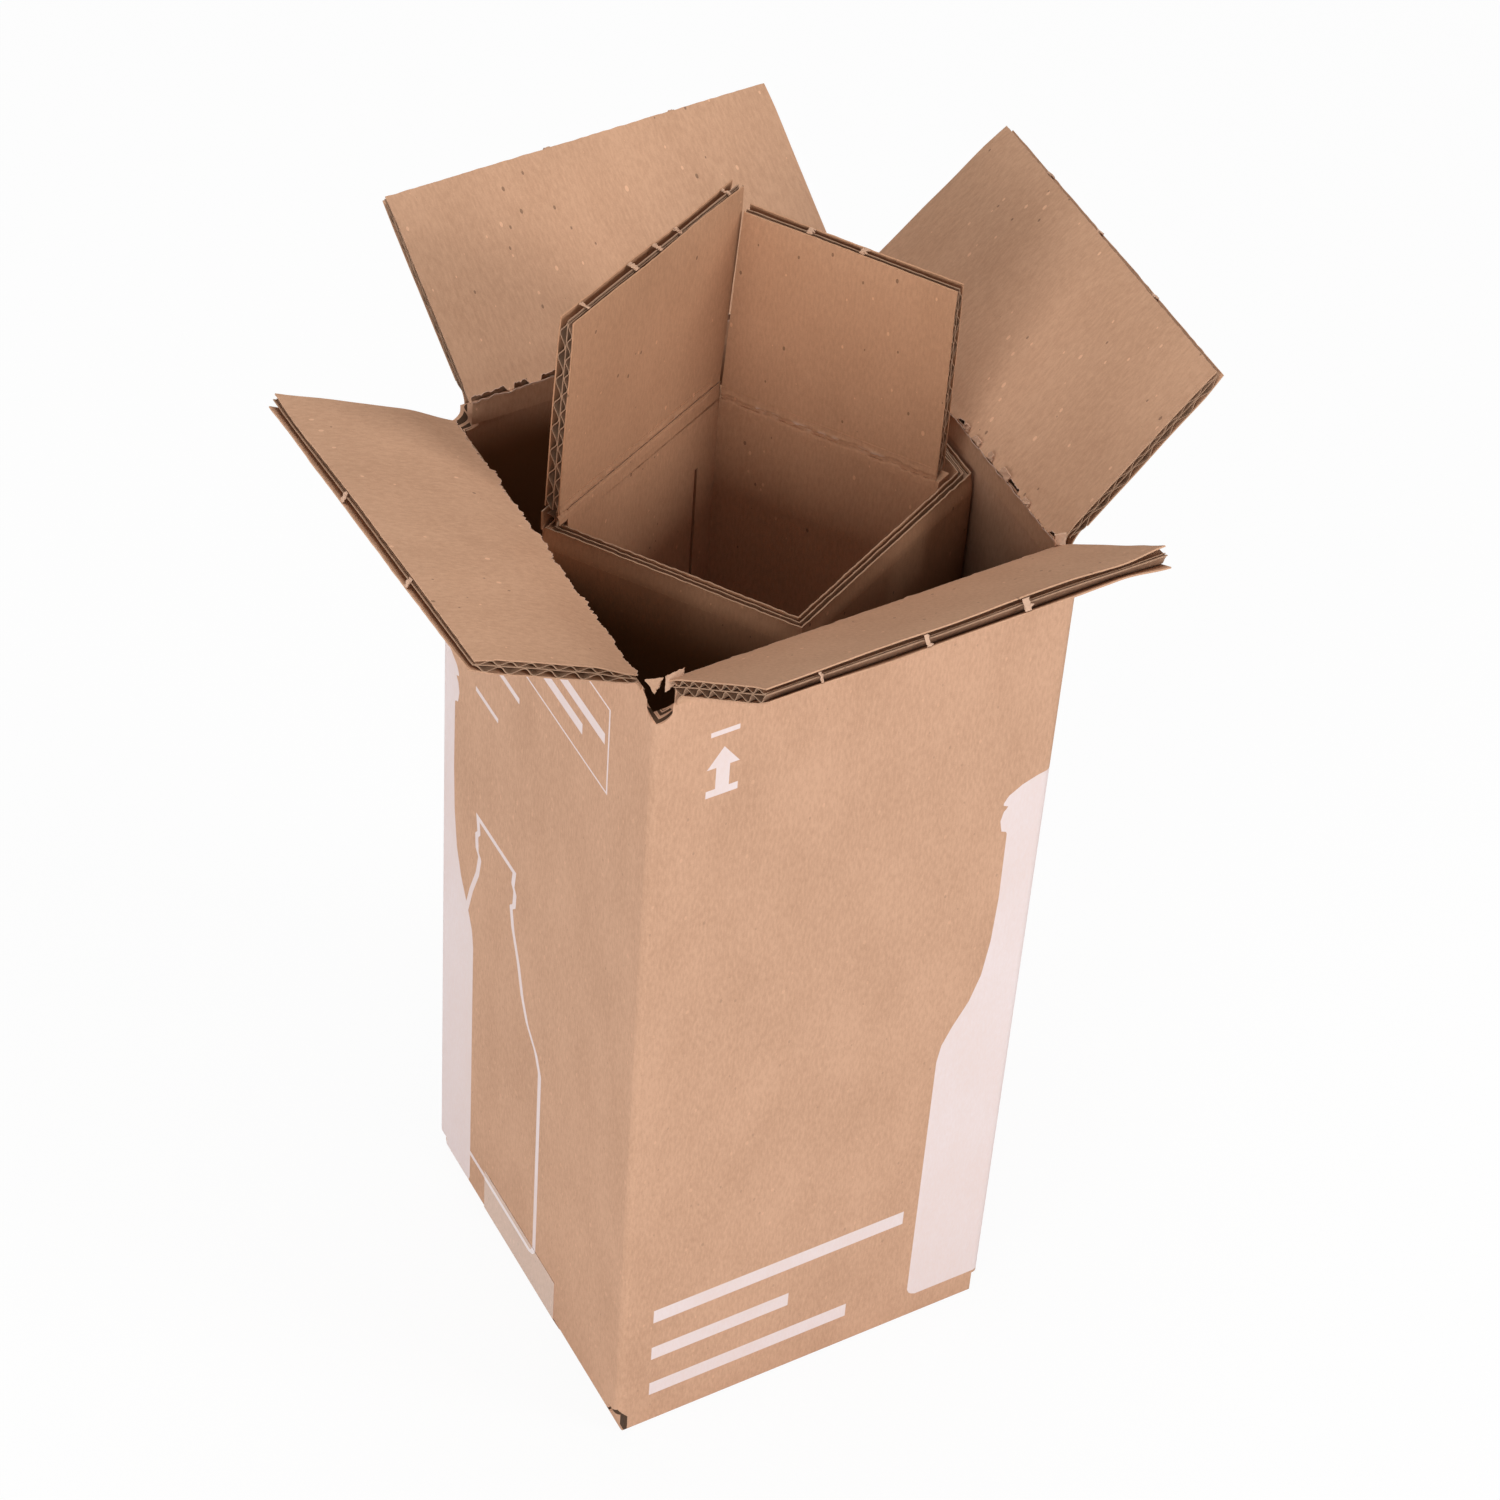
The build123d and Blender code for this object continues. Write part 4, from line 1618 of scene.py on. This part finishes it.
@dataclass
class Insert:
    """The sleeve insert and its two standing flaps. Lengths are in millimetres."""

    corner_a: Vector = field(default_factory=lambda: Vector((-57.0, 14.7, 0.0)))
    corner_b: Vector = field(default_factory=lambda: Vector((-12.9, -47.9, 0.0)))
    corner_c: Vector = field(default_factory=lambda: Vector((57.0, -15.6, 0.0)))
    corner_d: Vector = field(default_factory=lambda: Vector((10.7, 45.5, 0.0)))
    start_inset: float = 3.4
    near_fold: float = 310.6
    stack_gap: float = 0.3
    wrap_length: float = 36.0
    groove_depth: float = 6.5
    rim_drop: float = 0.75
    rim_pinch: float = 0.36
    slit_sides: Tuple[float, float] = (-8.9, -8.4)
    slit_drop: Tuple[float, float] = (26.0, 70.0)
    slit_opening: float = 0.35
    slit_near: float = 0.06
    crease_stop: float = 3.65
    rim_near: float = 0.05
    panel_near: float = 0.1
    panel_lap: float = 0.6
    step_sink: float = 0.6
    face_near: float = 0.5
    outward_least: float = 0.7
    upward_least: float = 0.6
    rim_pitches: ClassVar[Mapping[Ply, float]] = {Ply.FINE: 6.1, Ply.COARSE: 8.0}
    rim_drops: ClassVar[Mapping[Ply, float]] = {Ply.FINE: 0.7, Ply.MIDDLE: 0.25, Ply.COARSE: 0.9}
    rim_lap: float = 0.2
    step_lap: float = 0.8
    step_gap: float = 0.1
    rim_phase: float = 0.1
    rim_rag: float = 0.2
    rim_rag_step: float = 2.2
    rim_sway: float = 0.16
    rim_sway_step: float = 5.0
    rim_run: float = 190.0
    pinch_at: float = 0.55

    @property
    def ab(self) -> Vector:
        """The direction of the first open panel."""
        return (self.corner_b - self.corner_a).normalized()

    @property
    def bc(self) -> Vector:
        """The direction of the second open panel."""
        return (self.corner_c - self.corner_b).normalized()

    @property
    def ad(self) -> Vector:
        """The direction of the panel under the left flap."""
        return (self.corner_d - self.corner_a).normalized()

    @property
    def start(self) -> Vector:
        """Where the panel under the right flap starts."""
        return self.corner_c - self.bc * self.start_inset

    @property
    def ds(self) -> Vector:
        """The direction of the panel under the right flap."""
        return (self.start - self.corner_d).normalized()

    @property
    def inner_a(self) -> Vector:
        """The inner corner at A."""
        return self.inside(self.corner_a, -self.ad, self.ab)

    @property
    def inner_d(self) -> Vector:
        """The inner corner at D."""
        return self.inside(self.corner_d, -self.ds, -self.ad)

    @property
    def wrap_end(self) -> Vector:
        """Where the last panel ends at the right wall."""
        return self.corner_c + Y_AXIS * self.wrap_length

    @property
    def far_fold(self) -> float:
        """The height of the left flap's fold, a board above the right one's."""
        return self.near_fold + BOARD.thickness + self.stack_gap

    def inside(self, corner: Vector, arriving: Vector, leaving: Vector) -> Vector:
        """The inner corner of the board at a fold, from the directions that arrive and leave."""
        return corner + (leaving - arriving) * (BOARD.thickness / arriving.cross(leaving).z)

    def flaps(self) -> List[Flap]:
        """The two flaps that stand on the rear panels.

        Returns:
            The right flap and the left flap.
        """
        ad, ds = self.ad, self.ds
        inner_a, inner_d = self.inner_a, self.inner_d
        near_run = (self.inside(self.start, self.bc, -ds) - inner_d).length
        far_run = (inner_d - inner_a).length
        shared: Dict[str, Any] = {
            "fold": FoldStyle.CREASED, "board_leans": False, "mitre": 0.0, "waves": (11, 8),
            "slot": "kraft_insert", "root_at": 0.35, "crush": 0.0, "band_run": 0.0,
        }
        return [
            Flap(
                "insert_flap_right", inner_d + UP * self.near_fold, ds.cross(UP), ds, angle=0.5,
                length=65.7, root_span=(0.3, near_run - 1.3), tip_span=(3.6, near_run - 1.3),
                seed=31, nicks=(0.3, 0.55), **shared,
            ),
            Flap(
                "insert_flap_left", inner_a + UP * self.far_fold, ad.cross(UP), ad, angle=2.5,
                length=68.2, root_span=(-4.3, far_run - 0.3), tip_span=(-4.3, far_run + 1.3),
                seed=37, nicks=(0.1, 0.38, 0.52, 0.64, 0.93), **shared,
            ),
        ]

    def panels(self) -> List[Tuple[Vector, Vector, Vector, float]]:
        """The panels with an open rim.

        Returns:
            The start, direction, inward direction and length of each.
        """
        found = []
        row = (self.corner_a, self.corner_b, self.corner_c, self.wrap_end)
        for start, end in zip(row, row[1:]):
            along = (end - start).normalized()
            found.append((start, along, UP.cross(along), (end - start).length))
        return found

    def sleeve(
        self, node: bpy.types.Object, inside: bpy.types.Material, outside: Sequence[bpy.types.Material]
    ) -> bpy.types.Object:
        """The sleeve up to its layered rims.

        Args:
            node: The frame's solid.
            inside: The paper inside the cell.
            outside: The papers of the first face that looks at the carton, and of the others; the others
                have their painted shade start lower.

        Returns:
            The sleeve.
        """
        bm = copied(node)
        rim, panels = self.near_fold - self.rim_drop, self.panels()
        step = self.far_fold - self.rim_drop
        deepest = BOARD.thickness + self.panel_near
        self.open_slit(bm)
        for vert in bm.verts:
            place = vert.co / MM
            if abs(place.z - step) < self.rim_near:
                vert.co.z = (rim - self.step_sink) * MM
            if not rim - self.groove_depth < place.z < rim + self.rim_near:
                continue
            for start, along, inward, length in panels:
                run, depth = (place - start).dot(along), (place - start).dot(inward)
                if -self.panel_near < depth < deepest and -self.panel_lap < run < length + self.panel_lap:
                    vert.co.z = (rim - self.groove_depth) * MM
                    break
        bmesh.ops.remove_doubles(bm, verts=bm.verts[:], dist=MERGE)
        bmesh.ops.dissolve_degenerate(bm, dist=MERGE, edges=bm.edges[:])
        bm.normal_update()
        for face in bm.faces:
            middle = face.calc_center_median() / MM
            for count, (start, along, inward, length) in enumerate(panels):
                run, depth = (middle - start).dot(along), (middle - start).dot(inward)
                outward = -face.normal.dot(inward) > self.outward_least
                if abs(depth) < self.face_near and 0.0 < run < length and outward:
                    face.material_index = min(count + 1, len(outside))
        piece = dressed_copy(bm, "sleeve_panels", "insert_sleeve", "box", inside)
        for material in outside:
            piece.data.materials.append(material)
        return piece

    def open_slit(self, bm: bmesh.types.BMesh) -> None:
        """Spread the sides of the upright slit near the far corner.

        Args:
            bm: The copy of the sleeve.
        """
        ad, inner_d = self.ad, self.inner_d
        first, last = self.slit_drop
        for vert in bm.verts:
            place = vert.co / MM
            if not first - self.panel_near < self.far_fold - place.z < last + self.panel_near:
                continue
            for side, way in zip(self.slit_sides, (-1.0, 1.0)):
                if abs((place - inner_d).dot(ad) - side) < self.slit_near:
                    vert.co += ad * (way * self.slit_opening * MM)

    def rims(
        self, liner: bpy.types.Material, flute: bpy.types.Material, outside: bpy.types.Material
    ) -> bpy.types.Object:
        """The layered top edges of the sleeve, pinched and a little ragged.

        Args:
            liner: The material of the inner liner.
            flute: The material of the fluting and the middle liner.
            outside: The material of the outer liner, with painted shade towards the bottom.

        Returns:
            The rims.
        """
        inner_a, rim = self.inner_a, self.near_fold - self.rim_drop
        mesh = PaperMesh("sleeve_rims")
        open_rim = (
            [self.corner_a, self.corner_b, self.corner_c, self.wrap_end],
            [
                inner_a, self.inside(self.corner_b, self.ab, self.bc),
                self.inside(self.corner_c, self.bc, Y_AXIS), self.wrap_end - X_AXIS * BOARD.thickness,
            ],
        )
        under_flap = ([self.corner_a, self.corner_d], [inner_a, self.inner_d])
        for edges, heights, pinch, steps in (
            (open_rim, (rim - self.groove_depth - self.rim_lap, rim), self.rim_pinch, 260),
            (under_flap, (rim - self.step_lap, self.far_fold - self.step_gap), 0.0, 60),
        ):
            for ply in Ply:
                self.add_rim(mesh, ply, edges, heights, pinch, steps)
        mesh.bm.normal_update()
        for face in mesh.bm.faces:
            if face.normal.z > self.upward_least:
                face.material_index = 1
        piece = mesh.finish([liner, flute, outside])
        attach(piece, "box")
        return piece

    def add_rim(
        self,
        mesh: PaperMesh,
        ply: Ply,
        edges: Tuple[Sequence[Vector], Sequence[Vector]],
        heights: Tuple[float, float],
        pinch: float,
        steps: int,
    ) -> None:
        """Add one ply along a row of panels.

        Args:
            mesh: The mesh that gets it.
            ply: Which ply.
            edges: The corners of the outer and of the inner face, in order along the row.
            heights: Where the ply starts and about where it ends.
            pinch: How far the rim is pressed together, 0 to 1.
            steps: Divisions along the row.
        """
        thick, centre, swing = BOARD.thickness, BOARD.centre(ply), BOARD.swing(ply)
        pitch, drop = self.rim_pitches.get(ply, 1.0), self.rim_drops.get(ply, 0.0)
        low, top = heights
        runs = [(last - first).length for first, last in zip(edges[0], edges[0][1:])]

        def shape(u: float, v: float) -> Vector:
            """The point of the ply.

            Args:
                u: Share of its height.
                v: Share of the row.

            Returns:
                The point in millimetres.
            """
            rough = self.rim_rag * rough_line(v * self.rim_run, 63.0 + centre, self.rim_rag_step)
            height = low + (top - drop + rough * (1.0 if pinch else 0.0) - low) * u
            a = centre + swing * math.cos(2.0 * math.pi * ((height - low) / pitch + self.rim_phase))
            press = pinch * smooth_step(low, top, height)
            sway = self.rim_sway * rough_line(v * self.rim_run + 5.0 * centre, 61.0, self.rim_sway_step)
            a += (thick * self.pinch_at - a) * press + sway * press
            corners = [second.lerp(first, a / thick) for first, second in zip(*edges)]
            along = v * sum(runs)
            for first, last, run in zip(corners, corners[1:], runs):
                if along <= run:
                    break
                along -= run
            place = first.lerp(last, min(1.0, along / run))
            return Vector((place.x, place.y, height))

        tall = 20 if swing else 6
        slot = {Ply.INNER: 0, Ply.OUTER: 2}.get(ply, 1)
        mesh.sheet(shape, (tall, steps), BOARD.paper(ply), None, slot)

    def build(self, palette: Palette, nodes: Mapping[str, bpy.types.Object]) -> None:
        """Dress the insert.

        Args:
            palette: The finishes.
            nodes: The frame's own solids.
        """
        paper = Palette.insert.build()
        outside = Palette.insert_outside.build()
        report(self.sleeve(nodes["insert_sleeve"], paper, (outside, Palette.insert_right.build())))
        report(self.rims(paper, palette.flute_paper, outside))
        for flap in self.flaps():
            liner = Palette.insert.build(flap.rows())
            report(flap.build(liner, palette.flute_paper))
            over = flap.body == "insert_flap_left"
            strip = CreaseStrip(flap, self.crease_stop) if over else CreaseStrip(flap)
            report(strip.build(liner))


def dress(node: bpy.types.Object, material: bpy.types.Material) -> None:
    """Give a solid of the frame its material.

    Args:
        node: The solid.
        material: The material.
    """
    node.data.materials.clear()
    node.data.materials.append(material)
    LOG.info("dressed %s", node.name)


def report(piece: bpy.types.Object) -> None:
    """Log a finished piece."""
    LOG.info("made %s with %d faces", piece.name, len(piece.data.polygons))


def main() -> None:
    """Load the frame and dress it."""
    logging.basicConfig(level=logging.INFO, format="%(message)s")
    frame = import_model()
    scene = bpy.context.scene
    scene.view_settings.view_transform = "Standard"
    palette = Palette()
    Studio().build(palette)
    Carton().build(palette, frame["nodes"])
    Insert().build(palette, frame["nodes"])


if __name__ == "__main__":
    main()
